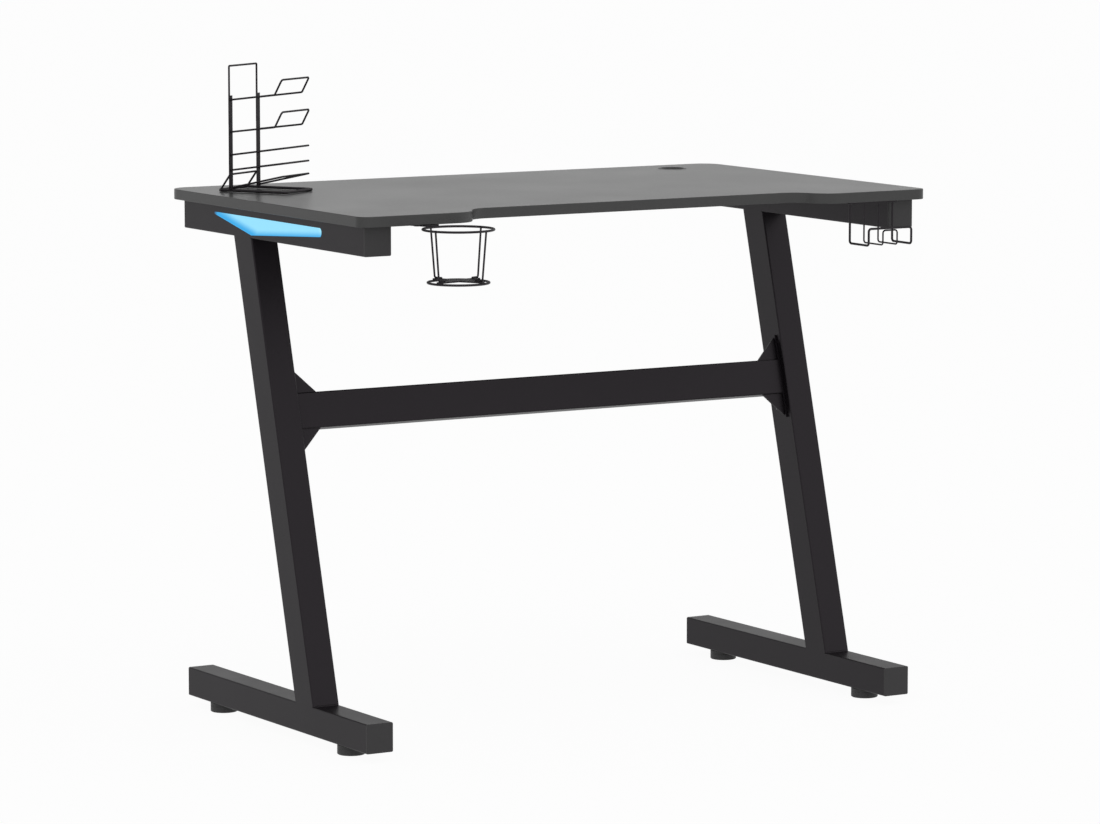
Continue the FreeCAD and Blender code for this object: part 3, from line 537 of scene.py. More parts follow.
@dataclass(frozen=True)
class CircuitBoard(Finish):
    """Green solder mask over copper tracks."""

    mask_color: Color
    track_color: Color = (0.05, 0.28, 0.12)
    track_pitch: float = 6 * MM
    track_share: float = 0.03
    track_depth: float = 0.03 * MM
    grain_size: float = 1.2 * MM

    def material(self) -> bpy.types.Material:
        """Tracks laid in a bond pattern under the mask.

        Returns:
            The board's material.
        """
        recipe = self.recipe()
        grain = recipe.noise(self.grain_size)
        sockets = {
            "Vector": recipe.place(),
            "Scale": 1 / self.track_pitch,
            "Mortar Size": self.track_share,
        }
        tracks = recipe.node("ShaderNodeTexBrick", {}, sockets, "Fac")
        mask = recipe.toned(grain, self.mask_color, 0.25)
        return recipe.surface(
            {
                "Base Color": recipe.blend(tracks, mask, self.track_color),
                "Roughness": 0.3 + 0.15 * grain,
                "Normal": recipe.bump(tracks, self.track_depth),
            }
        )


class Palette:
    """The desk's finishes, each made once."""

    def __init__(self, finishes: Iterable[Finish]) -> None:
        """Makes every finish's material."""
        self.materials = {finish.slot: finish.material() for finish in finishes}

    def __getitem__(self, slot: Slot) -> bpy.types.Material:
        """Material of a slot."""
        return self.materials[slot]


def circle(radius: float) -> Outline:
    """Round outline."""
    return lambda angle: radius


def hexagon(across_flats: float) -> Outline:
    """Six-sided outline, as the distance of its sides from the middle."""
    sector = math.pi / 3
    return lambda angle: across_flats / 2 / math.cos(angle % sector - sector / 2)


def crossed_slots(length: float, width: float) -> Outline:
    """Outline of two crossed slots.

    Args:
        length: Length of each slot.
        width: Width of each slot.

    Returns:
        The radius at an angle.
    """
    quarter = math.pi / 2

    def radius(angle: float) -> float:
        """Radius to the nearer slot's end or side.

        Args:
            angle: Direction from the middle.

        Returns:
            The radius.
        """
        folded = (angle + quarter / 2) % quarter - quarter / 2
        side = abs(math.sin(folded))
        to_end = length / 2 / math.cos(folded)
        return min(to_end, width / 2 / side) if side else to_end

    return radius


def tapered_cross(reach: float, root: float, tip: float) -> Outline:
    """Outline of two crossed arms that narrow towards their ends.

    Args:
        reach: Distance of the arms' round ends from the middle.
        root: Half width that the arms' sides would have at the middle.
        tip: Half width at the ends.

    Returns:
        The radius at an angle.
    """
    slope = (root - tip) / reach
    softness = 8

    def radius(angle: float) -> float:
        """Radius to the arms' end or side, with rounded inner corners.

        Args:
            angle: Direction from the middle.

        Returns:
            The radius.
        """
        along = abs(math.cos(angle))
        across = abs(math.sin(angle))
        sides = (root / (across + slope * along), root / (along + slope * across))
        return min(reach, sum(side**softness for side in sides) ** (1 / softness))

    return radius


def inset(outline: Outline, margin: float) -> Outline:
    """Outline that lies inside another by a margin."""
    return lambda angle: outline(angle) - margin


def thread(radius: float, depth: float, turns: float) -> Outline:
    """Section through a screw thread.

    Args:
        radius: Radius over the crests.
        depth: Depth of the grooves.
        turns: Height of the section, counted in pitches.

    Returns:
        The radius at an angle.
    """
    return lambda angle: radius - depth * abs((turns - angle / math.tau) % 1 * 2 - 1)


def turned(profile: Profile, place: Matrix, segments: int = 48) -> list[Ring]:
    """Rings of a body turned about the Z axis.

    Args:
        profile: Outlines and their heights, in order along the surface.
        place: Where the body goes.
        segments: Points in each ring.

    Returns:
        The rings, in the desk's frame.
    """
    angles = [math.tau * i / segments for i in range(segments)]
    rings = []
    for outline, height in profile:
        radii = [outline(angle) for angle in angles]
        points = [(r * math.cos(a), r * math.sin(a), height) for r, a in zip(radii, angles)]
        rings.append([place @ Vector(p) for p in points])
    return rings


def rounded(centre: tuple[float, float], radius: float, start: float) -> Profile:
    """Quarter round of a turned profile.

    Args:
        centre: Radius and height of the round's own centre.
        radius: Radius of the round.
        start: Angle at which it starts, in degrees, a quarter turn before it ends.

    Returns:
        Profile points along the round.
    """
    flats = 4
    angles = [math.radians(start + 90 * i / flats) for i in range(flats + 1)]
    return [(circle(centre[0] + radius * math.cos(a)), centre[1] + radius * math.sin(a)) for a in angles]


def threaded(radius: float, pitch: float, start: float, length: float) -> Profile:
    """Profile of a threaded stretch.

    Args:
        radius: Radius over the crests.
        pitch: Height of one turn.
        start: Height at which it starts.
        length: Its length.

    Returns:
        Profile points along the stretch.
    """
    depth = 0.6 * pitch
    per_turn = 6
    count = round(length / pitch * per_turn)
    levels = [i / per_turn for i in range(count + 1)]
    return [(thread(radius, depth, turns), start + turns * pitch) for turns in levels]


def weld_bead(start: Vector, end: Vector, up: Vector, radius: float) -> list[Ring]:
    """Rings of a rippled weld along a straight seam.

    Args:
        start: One end of the seam.
        end: Its other end.
        up: A direction square to the seam.
        radius: Mean radius of the bead.

    Returns:
        The rings, small at both ends.
    """
    ripple = 2.2 * MM
    ripple_share = 0.1
    rings_per_ripple = 5
    fewest_rings = 8
    points = 12
    end_share = 0.25
    run = end - start
    side = run.normalized().cross(up)
    angles = [math.tau * k / points for k in range(points)]
    steps = max(int(run.length / ripple * rings_per_ripple), fewest_rings)
    rings = []
    for i in range(steps + 1):
        share = i / steps
        from_end = min(share, 1 - share) * run.length
        taper = min(1.0, end_share + from_end / (2 * radius))
        wave = 1 + ripple_share * math.sin(math.tau * share * run.length / ripple)
        reach = radius * taper * wave
        middle = start + run * share
        rings.append([middle + (side * math.cos(a) + up * math.sin(a)) * reach for a in angles])
    return rings


def weld_fill(start: Vector, end: Vector, inward: Vector, away: Vector) -> list[Ring]:
    """Rings of a weld that is ground flush in the groove along a tube's rounded corner.

    Args:
        start: One end of the seam, on the face that it is flush with.
        end: Its other end.
        inward: From the seam to the groove's inner rim.
        away: From the seam to the groove's outer rim.

    Returns:
        The rings, small at both ends.
    """
    swells = {0.0: 0.3, 0.02: 0.8, 0.06: 1.0, 0.94: 1.0, 0.98: 0.8, 1.0: 0.3}
    rings = []
    for share, swell in swells.items():
        seam = start.lerp(end, share)
        rings.append([seam, seam + inward * swell, seam + away * swell])
    return rings


def weld_spot(centre: Vector, along: Vector, length: float, radius: float) -> list[Ring]:
    """Rings of the small swelling where two wires are welded.

    Args:
        centre: Middle of the weld.
        along: Direction of its longer axis.
        length: Its length.
        radius: Its largest radius.

    Returns:
        The rings, small at both ends.
    """
    shares = (-1, -0.9, -0.7, -0.4, -0.15, 0.15, 0.4, 0.7, 0.9, 1)
    bluntness = 1.04
    ripple_share = 0.06
    ripple_rate = 9
    profile = []
    for share in shares:
        wave = 1 + ripple_share * math.cos(ripple_rate * share)
        swell = math.sqrt(bluntness - share * share) * wave
        profile.append((circle(radius * swell), share * length / 2))
    turn = along.to_track_quat("Z", "Y").to_matrix().to_4x4()
    return turned(profile, Matrix.Translation(centre) @ turn, segments=16)


class Draft:
    """Mesh that grows by skinning rings of points."""

    sharp_angle = math.radians(35)

    def __init__(self) -> None:
        """Starts with nothing."""
        self.mesh = bmesh.new()

    def skin(self, rings: list[Ring], closed: bool = False) -> "Draft":
        """Adds a body.

        Args:
            rings: Its rings, with as many points each.
            closed: Whether the last ring meets the first; otherwise both ends are capped.

        Returns:
            The draft itself.
        """
        loops = [[self.mesh.verts.new(point) for point in ring] for ring in rings]
        pairs = list(zip(loops, loops[1:]))
        if closed:
            pairs.append((loops[-1], loops[0]))
        else:
            self.mesh.faces.new(loops[0][::-1])
            self.mesh.faces.new(loops[-1])
        for low, high in pairs:
            count = len(low)
            for i in range(count):
                following = (i + 1) % count
                self.mesh.faces.new((low[i], low[following], high[following], high[i]))
        return self

    def piece(self, name: str, material: bpy.types.Material) -> bpy.types.Object:
        """Ends the draft.

        Args:
            name: The piece's name.
            material: Its material.

        Returns:
            The new object.
        """
        bmesh.ops.recalc_face_normals(self.mesh, faces=self.mesh.faces)
        data = bpy.data.meshes.new(name)
        self.mesh.to_mesh(data)
        self.mesh.free()
        data.shade_smooth()
        data.set_sharp_from_angle(angle=self.sharp_angle)
        data.materials.append(material)
        made = bpy.data.objects.new(name, data)
        bpy.context.scene.collection.objects.link(made)
        return made


@dataclass(frozen=True)
class Screw:
    """Screw with a domed head, a drive recess and a threaded end, pointing along +Z."""

    head_radius: float
    head_height: float
    shank_radius: float
    length: float
    drive: Drive
    pitch: float
    threaded_length: float
    dome_share: float = 0.45
    recess_share: float = 0.6
    hexagon_share: float = 0.85
    slot_shares: tuple[float, float] = (1.15, 0.32)

    def recess(self) -> Outline:
        """Outline of the drive's recess.

        Returns:
            A hexagon or two crossed slots.
        """
        if self.drive is Drive.HEX:
            return hexagon(self.hexagon_share * self.head_radius)
        return crossed_slots(*(share * self.head_radius for share in self.slot_shares))

    def rings(self, place: Matrix) -> list[Ring]:
        """Rings of the screw, from the floor of its recess to its point.

        Args:
            place: Where the middle of its seat goes.

        Returns:
            The rings, in the desk's frame.
        """
        head = self.head_radius
        shank = self.shank_radius
        top = -self.head_height
        dome = self.dome_share * self.head_height
        depth = self.recess_share * self.head_height
        recess = self.recess()
        plain = self.length - self.threaded_length
        profile = [
            (circle(0.08 * head), top + 1.25 * depth),
            (lambda angle: 0.8 * recess(angle), top + depth),
            (recess, top),
            (lambda angle: max(recess(angle) * 1.06, 0.72 * head), top),
            (circle(0.9 * head), top + 0.35 * dome),
            (circle(head), top + dome),
            (circle(head), -0.1 * self.head_height),
            (circle(0.96 * head), 0),
            (circle(shank), 0),
            (circle(shank), plain),
            *threaded(shank, self.pitch, plain + 0.25 * self.pitch, self.threaded_length - 2 * self.pitch),
            (circle(0.6 * shank), self.length),
        ]
        return turned(profile, place)


def middle_of(node: str) -> Vector:
    """Middle of a node's box."""
    low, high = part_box(node)
    return (low + high) / 2


@dataclass
class SubAssembly:
    """Pieces that belong together on one body."""

    palette: Palette
    body: str = "desk"

    def dress(self, slot: Slot, *nodes: str) -> None:
        """Gives solids the finish of their slot.

        Args:
            slot: The finish.
            nodes: Names of the solids.
        """
        for name in nodes:
            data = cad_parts[name].data
            data.materials.clear()
            data.materials.append(self.palette[slot])
            LOG.info("%s: %s", name, slot.value)

    def add(self, draft: Draft, name: str, slot: Slot, replaced: str = "", body: str = "") -> None:
        """Ends a draft as a piece that rides on a body.

        Args:
            draft: The piece's mesh.
            name: Its name.
            slot: Its finish.
            replaced: The solid that it stands for, if any.
            body: The body that it rides on, where it isn't the sub-assembly's own.
        """
        piece = draft.piece(name, self.palette[slot])
        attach(piece, body or self.body)
        if replaced:
            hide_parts(replaced)
        LOG.info("%s: new piece, %s", name, slot.value)

    def add_screws(self, screw: Screw, node: str, places: Iterable[Matrix]) -> None:
        """Puts detailed screws where a node's plain ones are.

        Args:
            screw: The screw.
            node: The solids that it stands for.
            places: The screws' seats.
        """
        draft = Draft()
        for place in places:
            draft.skin(screw.rings(place))
        self.add(draft, f"{node}_detailed", Slot.STEEL, node)

    def add_screws_from_below(self, screw: Screw, node: str, rows: int = 1) -> None:
        """Puts detailed screws, driven upwards, where a node's two columns of plain ones are.

        Args:
            screw: The screw.
            node: The solids that it stands for.
            rows: Screws in each column, evenly spaced; one alone stands in the middle.
        """
        low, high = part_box(node)
        reach = screw.head_radius
        seat = low.z + screw.head_height
        columns = (low.x + reach, high.x - reach)
        shares = [i / (rows - 1) for i in range(rows)] if rows > 1 else [0.5]
        first = low.y + reach
        depths = [first + (high.y - reach - first) * share for share in shares]
        places = [Matrix.Translation((x, y, seat)) for x in columns for y in depths]
        self.add_screws(screw, node, places)


@dataclass
class Tabletop(SubAssembly):
    """Board, edge band, grommet and the inserts for the rails' screws."""

    flange_round: float = 0.25 * MM
    flange_width: float = 2.2 * MM
    flange_undercut: float = 0.1 * MM
    bore_round: float = 0.6 * MM
    sleeve_wall: float = 2.0 * MM
    step_depth: float = 0.5 * MM
    step_shares: tuple[float, float] = (0.25, 0.3)

    def grommet(self) -> None:
        """Turned grommet with eased edges and a step inside its sleeve."""
        low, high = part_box("cable_grommet")
        flange = (high.x - low.x) / 2
        sleeve = flange - self.flange_width
        bore = sleeve - self.sleeve_wall
        height = high.z - low.z
        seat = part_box("tabletop_board")[1].z - low.z
        step_start, step_end = (share * seat for share in self.step_shares)
        ease = self.flange_round
        ring = self.bore_round
        profile = [
            (circle(sleeve), 0),
            (circle(sleeve), seat),
            (circle(flange - self.flange_undercut), seat),
            *rounded((flange - ease, height - ease), ease, 0),
            (circle(bore + 2 * ring), height),
            *rounded((bore + ring, height - ring), ring, 90),
            (circle(bore), step_end),
            (circle(bore + self.step_depth), step_start),
            (circle(bore + self.step_depth), 0),
        ]
        middle = middle_of("cable_grommet")
        place = Matrix.Translation((middle.x, middle.y, low.z))
        draft = Draft().skin(turned(profile, place, segments=72), closed=True)
        self.add(draft, "cable_grommet_turned", Slot.BAND, "cable_grommet")

    def build(self) -> None:
        """Dresses the board and turns the grommet."""
        self.dress(Slot.BOARD, "tabletop_board")
        self.dress(Slot.BAND, "edge_band")
        self.dress(Slot.BRASS, "rail_inserts")
        self.grommet()


@dataclass
class LegFrame(SubAssembly):
    """Rails, legs and foot rails of one Z-shaped frame at each side, with their welds."""

    leg_depth: float = 50 * MM
    bead_radius: float = 1.5 * MM
    tube_corner: float = 2.0 * MM
    screw_rows: int = 3
    rail_screw: Screw = Screw(6 * MM, 4 * MM, 3 * MM, 9.7 * MM, Drive.HEX, 1.0 * MM, 8 * MM)

    def lean(self) -> float:
        """Lean of the legs, worked out from the box of one of them.

        Returns:
            The angle from upright, in radians.
        """
        low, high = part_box("left_leg")
        rise = high.z - low.z
        rounds = 8
        lean = 0.0
        for _ in range(rounds):
            run = high.y - low.y - self.leg_depth / math.cos(lean)
            lean = math.atan2(run, rise)
        return lean

    def welds(self, side: str) -> None:
        """Beads across the front and the back of a leg and flush fills at its sides.

        Args:
            side: Which leg.
        """
        low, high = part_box(f"{side}_leg")
        corner = self.tube_corner
        slice_depth = self.leg_depth / math.cos(self.lean())
        foot = (low.y, low.z)
        head = (high.y - slice_depth, high.z)
        draft = Draft()
        for front, z in (foot, head):
            for y in (front, front + slice_depth):
                start = Vector((low.x + corner, y, z))
                end = Vector((high.x - corner, y, z))
                draft.skin(weld_bead(start, end, UP, self.bead_radius))
        for x, inward in ((low.x, ACROSS * corner), (high.x, -ACROSS * corner)):
            for (y, z), away in ((foot, -UP * corner), (head, UP * corner)):
                start = Vector((x, y + corner, z))
                end = Vector((x, y + slice_depth - corner, z))
                draft.skin(weld_fill(start, end, inward, away))
        self.add(draft, f"{side}_leg_welds", Slot.FRAME)

    def build(self) -> None:
        """Dresses the tubes and their caps, and adds welds and the screws inside the top rails."""
        for side in SIDES:
            self.dress(Slot.FRAME, f"{side}_top_rail", f"{side}_leg", f"{side}_foot_rail")
            self.welds(side)
        self.dress(Slot.PLASTIC, "top_rail_end_caps", "foot_rail_end_caps")
        self.dress(Slot.STEEL, "glide_nuts")
        self.add_screws_from_below(self.rail_screw, "rail_screws", self.screw_rows)


@dataclass
class Stretcher(SubAssembly):
    """Beam between the legs, with its end plates, gussets and bolts."""

    lean: float = 0.0
    beam_height: float = 49.8 * MM
    beam_depth: float = 25 * MM
    gusset_size: float = 32 * MM
    gusset_back: float = 6 * MM
    bead_radius: float = 1.2 * MM
    bolt: Screw = Screw(5.5 * MM, 4 * MM, 3 * MM, 16 * MM, Drive.HEX, 1.0 * MM, 12 * MM)

    def bolts(self) -> None:
        """Socket bolts through the end plates."""
        low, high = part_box("stretcher_bolts")
        reach = self.bolt.head_radius
        rows = [(low.y + reach, low.z + reach), (high.y - reach, high.z - reach)]
        seat = high.x - self.bolt.length
        places = []
        for side in SIDES.values():
            turn = Matrix.Rotation(side * math.pi / 2, 4, "Y")
            places += [Matrix.Translation((side * seat, y, z)) @ turn for y, z in rows]
        self.add_screws(self.bolt, "stretcher_bolts", places)

    def welds(self) -> None:
        """Beads behind the beam's ends and behind the gussets' edges."""
        middle = middle_of("stretcher_beam")
        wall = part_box("stretcher_beam")[1].x
        along = Vector((0, math.sin(self.lean), math.cos(self.lean)))
        back = Vector((0, math.cos(self.lean), -math.sin(self.lean)))
        half = self.beam_height / 2
        gusset_plane = back * (self.gusset_back - self.beam_depth / 2)
        draft = Draft()
        for side in SIDES.values():
            corner = Vector((side * wall, middle.y, middle.z))
            rear = corner + back * (self.beam_depth / 2)
            draft.skin(weld_bead(rear - along * half, rear + along * half, back, self.bead_radius))
            for level in SIDES.values():
                root = corner + along * (level * half) + gusset_plane
                plate_end = root + along * (level * self.gusset_size)
                beam_end = root - ACROSS * (side * self.gusset_size)
                draft.skin(weld_bead(root, plate_end, back, self.bead_radius))
                draft.skin(weld_bead(root, beam_end, back, self.bead_radius))
        self.add(draft, "stretcher_welds", Slot.FRAME)

    def build(self) -> None:
        """Dresses the stretcher, and adds its bolts and welds."""
        self.dress(Slot.FRAME, "stretcher_beam", "stretcher_end_plates", "stretcher_gussets")
        self.dress(Slot.STEEL, "rivet_nuts")
        self.bolts()
        self.welds()


@dataclass
class Glide(SubAssembly):
    """One levelling glide: a moulded foot on a threaded stud."""

    chamfer_height: float = 0.8 * MM
    sole_radius: float = 18 * MM
    sole_recess: float = 0.3 * MM
    ease: float = 0.5 * MM
    groove_share: float = 0.62
    groove_depth: float = 0.3 * MM
    groove_width: float = 1.0 * MM
    groove_slope: float = 0.2 * MM
    stud_radius: float = 4 * MM
    stud_length: float = 30 * MM
    stud_pitch: float = 1.25 * MM
    stud_shoulder: float = 2 * MM

    def build(self) -> None:
        """Turns the glide where its plain solid is."""
        low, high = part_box(self.body)
        middle = middle_of(self.body)
        radius = (high.x - low.x) / 2
        waist = radius - self.groove_depth
        head = high.z - low.z - self.stud_length
        groove = self.groove_share * head
        groove_end = groove + self.groove_width
        ease = self.ease
        sole = self.sole_radius
        chamfer = self.chamfer_height
        stud = self.stud_radius
        pitch = self.stud_pitch
        profile = [
            (circle(sole - 2 * ease), self.sole_recess),
            (circle(sole - ease), 0),
            (circle(sole), 0),
            (circle(radius - 0.3 * ease), chamfer - 0.3 * ease),
            (circle(radius), chamfer + 0.5 * ease),
            (circle(radius), groove),
            (circle(waist), groove + self.groove_slope),
            (circle(waist), groove_end - self.groove_slope),
            (circle(radius), groove_end),
            *rounded((radius - ease, head - ease), ease, 0),
            (circle(stud + self.stud_shoulder), head),
            (circle(stud), head),
            *threaded(stud, pitch, head + 0.3 * pitch, self.stud_length - 2 * pitch),
            (circle(0.7 * stud), head + self.stud_length),
        ]
        draft = Draft().skin(turned(profile, Matrix.Translation((middle.x, middle.y, low.z))))
        self.add(draft, f"{self.body}_turned", Slot.NYLON, self.body)


@dataclass
class LightKit(SubAssembly):
    """Lit panels, their strips and leads, and the control box under the board."""

    cap_radius: float = 5 * MM
    dish_depth: float = 0.7 * MM
    dish_shares: tuple[float, ...] = (0.05, 0.3, 0.55, 0.8, 1.0)
    collar_radius: float = 6 * MM
    collar_thickness: float = 1.2 * MM
    ease: float = 0.6 * MM
    box_screw: Screw = Screw(3.5 * MM, 2 * MM, 1.75 * MM, 12 * MM, Drive.CROSS, 1.2 * MM, 9 * MM)

    def button(self) -> None:
        """Push button with a dished face."""
        low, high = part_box("light_button")
        middle = middle_of("light_button")
        length = high.y - low.y
        cap = self.cap_radius
        ease = self.ease
        dish = cap - 1.5 * ease
        collar_start = length - self.collar_thickness
        profile = [
            *((circle(s * dish), self.dish_depth * (1 - s * s)) for s in self.dish_shares),
            *rounded((cap - ease, ease), ease, -90),
            (circle(cap), collar_start),
            (circle(self.collar_radius), collar_start),
            (circle(self.collar_radius), length),
        ]
        turn = Matrix.Rotation(-math.pi / 2, 4, "X")
        place = Matrix.Translation((middle.x, low.y, middle.z)) @ turn
        draft = Draft().skin(turned(profile, place))
        self.add(draft, "light_button_dished", Slot.BUTTON, "light_button", "light_button")

    def build(self) -> None:
        """Dresses the lights and their wiring, and adds the button and the box's screws."""
        for side in SIDES:
            self.dress(Slot.PANEL, f"{side}_light_panel")
            self.dress(Slot.STRIP, f"{side}_led_strip")
            self.dress(Slot.RUBBER, f"{side}_led_lead")
        self.dress(Slot.RUBBER, "lead_bushes")
        self.dress(Slot.PLASTIC, "lead_clips", "control_box", "power_inlet")
        self.dress(Slot.CIRCUIT, "control_board")
        self.button()
        self.add_screws_from_below(self.box_screw, "control_box_screws")


@dataclass
class CupHolder(SubAssembly):
    """Wire cup holder that swings under the front edge."""

    ring_wire: float = 3.2 * MM
    upright_wire: float = 2.6 * MM
    upright_turns: tuple[float, ...] = (20.7, 110.7, 200.7, 290.7)
    arm_root: float = 9.5 * MM
    arm_tip: float = 3.0 * MM
    sheet_ease: float = 0.3 * MM
    foot_length: float = 7.0 * MM
    foot_inset: float = 7.0 * MM
    foot_swell: float = 0.54
    spot_length: float = 4.0 * MM
    spot_swell: float = 0.53
    pivot: Screw = Screw(5 * MM, 1.4 * MM, 2.5 * MM, 12.1 * MM, Drive.CROSS, 1.4 * MM, 8 * MM)
    pivot_seat: float = 2.5 * MM

    def base_cross(self) -> None:
        """Sheet cross with tapered arms, on which the cup stands."""
        low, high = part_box("cup_lower_ring")
        outline = tapered_cross((high.x - low.x) / 2, self.arm_root, self.arm_tip)
        bottom, top = (corner.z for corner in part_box("cup_base_cross"))
        ease = self.sheet_ease
        profile = [
            (inset(outline, ease), bottom),
            (outline, bottom + ease),
            (outline, top - ease),
            (inset(outline, ease), top),
        ]
        middle = middle_of("cup_lower_ring")
        turn = Matrix.Rotation(math.radians(self.upright_turns[0]), 4, "Z")
        rings = turned(profile, Matrix.Translation((middle.x, middle.y, 0)) @ turn, segments=192)
        self.add(Draft().skin(rings), "cup_base_cross_tapered", Slot.WIRE, "cup_base_cross")

    def ring_weld(self, node: str, angle: float) -> list[Ring]:
        """Swelling along a ring.

        Args:
            node: The ring.
            angle: Where on the ring, in radians from the X axis.

        Returns:
            The swelling's rings.
        """
        low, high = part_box(node)
        outward = Vector((math.cos(angle), math.sin(angle), 0))
        place = middle_of(node) + outward * ((high.x - low.x - self.ring_wire) / 2)
        return weld_spot(place, outward.cross(UP), self.spot_length, self.spot_swell * self.ring_wire)

    def welds(self) -> None:
        """Swellings where the uprights meet the upper ring and the base, and the base the lower ring."""
        low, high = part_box("cup_lower_ring")
        reach = (high.x - low.x - self.ring_wire) / 2
        base = middle_of("cup_base_cross")
        base.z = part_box("cup_base_cross")[1].z
        half_arm = math.asin(self.arm_tip / reach)
        draft = Draft()
        for turn in self.upright_turns:
            angle = math.radians(turn)
            outward = Vector((math.cos(angle), math.sin(angle), 0))
            draft.skin(self.ring_weld("cup_upper_ring", angle))
            foot = base + outward * (reach - self.foot_inset)
            draft.skin(weld_spot(foot, outward, self.foot_length, self.foot_swell * self.upright_wire))
            for side in SIDES.values():
                draft.skin(self.ring_weld("cup_lower_ring", angle + side * half_arm))
        self.add(draft, "cup_welds", Slot.WIRE)

    def pivot_screw(self) -> None:
        """Cross-head screw on which the holder swings."""
        middle = middle_of("cup_pivot_screw")
        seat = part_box("cup_pivot_screw")[0].z + self.pivot_seat
        draft = Draft().skin(self.pivot.rings(Matrix.Translation((middle.x, middle.y, seat))))
        self.add(draft, "cup_pivot_screw_detailed", Slot.STEEL, "cup_pivot_screw", "desk")

    def build(self) -> None:
        """Dresses the wires and the bracket, and adds the base, the welds and the pivot screw."""
        self.dress(Slot.WIRE, "cup_upper_ring", "cup_lower_ring", "cup_bracket", "cup_uprights")
        self.base_cross()
        self.welds()
        self.pivot_screw()


@dataclass
class HeadphoneHook(SubAssembly):
    """Wire hook for headphones, under the front edge."""

    wires: tuple[tuple[str, float], ...] = (("hook_outer_wire", 3.2 * MM), ("hook_inner_wire", 2.3 * MM))
    collar_height: float = 1.6 * MM
    collar_flare: float = 0.8
    collar_shares: tuple[float, ...] = (0.0, 0.25, 0.5, 0.75, 1.0)
    screw: Screw = Screw(4 * MM, 2 * MM, 2 * MM, 12 * MM, Drive.CROSS, 1.3 * MM, 9 * MM)

    def welds(self) -> None:
        """Collars where the wires' ends meet the plate."""
        draft = Draft()
        for node, wire in self.wires:
            low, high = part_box(node)
            half = wire / 2
            profile = []
            for share in self.collar_shares:
                flare = 1 + self.collar_flare * (1 - share) ** 2
                profile.append((circle(half * flare), -share * self.collar_height))
            for x in (low.x + half, high.x - half):
                place = Matrix.Translation((x, high.y - half, high.z))
                draft.skin(turned(profile, place, segments=20))
        self.add(draft, "hook_welds", Slot.WIRE)

    def build(self) -> None:
        """Dresses the wires and the plate, and adds welds and screws."""
        self.dress(Slot.WIRE, "hook_outer_wire", "hook_inner_wire", "hook_plate")
        self.welds()
        self.add_screws_from_below(self.screw, "hook_screws")


@dataclass
class GameRack(SubAssembly):
    """Wire rack for controllers and disc cases, which stands on the board."""

    wire: float = 2.7 * MM
    post_thickness: float = 1.2 * MM
    spot_radius: float = 1.75 * MM
    spot_length: float = 4.5 * MM
    lap_length: float = 7.2 * MM
    lap_shares: tuple[float, float] = (0.12, 0.88)
    foot_length: float = 6.3 * MM
    forks: tuple[str, ...] = ("upper_arm", "lower_arm", "upper_shelf", "middle_shelf", "lower_shelf")

    def welds(self) -> None:
        """Swellings where the forks, the brace, the top frame and the base loop meet the posts."""
        left = middle_of("rack_left_post")
        right = middle_of("rack_right_post")
        across = Vector((right.x - left.x, right.y - left.y, 0)).normalized()
        face = across.cross(UP) * (self.post_thickness / 2)
        forks = [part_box(f"rack_{fork}")[0].z + self.wire / 2 for fork in self.forks]
        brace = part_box("rack_rear_brace")[1].z - self.wire / 2
        frame_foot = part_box("rack_top_frame")[0].z
        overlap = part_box("rack_left_post")[1].z - frame_foot
        laps = [frame_foot + overlap * share for share in self.lap_shares]
        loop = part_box("rack_base_loop")[1].z
        draft = Draft()
        for post in (left, right):
            base = Vector((post.x, post.y, 0))
            spots = [(base + face, z, UP, self.spot_length) for z in forks]
            spots += [(base - face, brace, across, self.spot_length)]
            spots += [(base - face, z, UP, self.lap_length) for z in laps]
            spots += [(base, loop, across, self.foot_length)]
            for place, z, along, length in spots:
                draft.skin(weld_spot(place + UP * z, along, length, self.spot_radius))
        self.add(draft, "rack_welds", Slot.WIRE)

    def build(self) -> None:
        """Dresses the rack and adds its welds."""
        self.dress(Slot.WIRE, "rack_base_loop", "rack_rear_brace", "rack_top_frame")
        self.dress(Slot.FRAME, "rack_left_post", "rack_right_post")
        self.dress(Slot.WIRE, *(f"rack_{fork}" for fork in self.forks))
        self.welds()


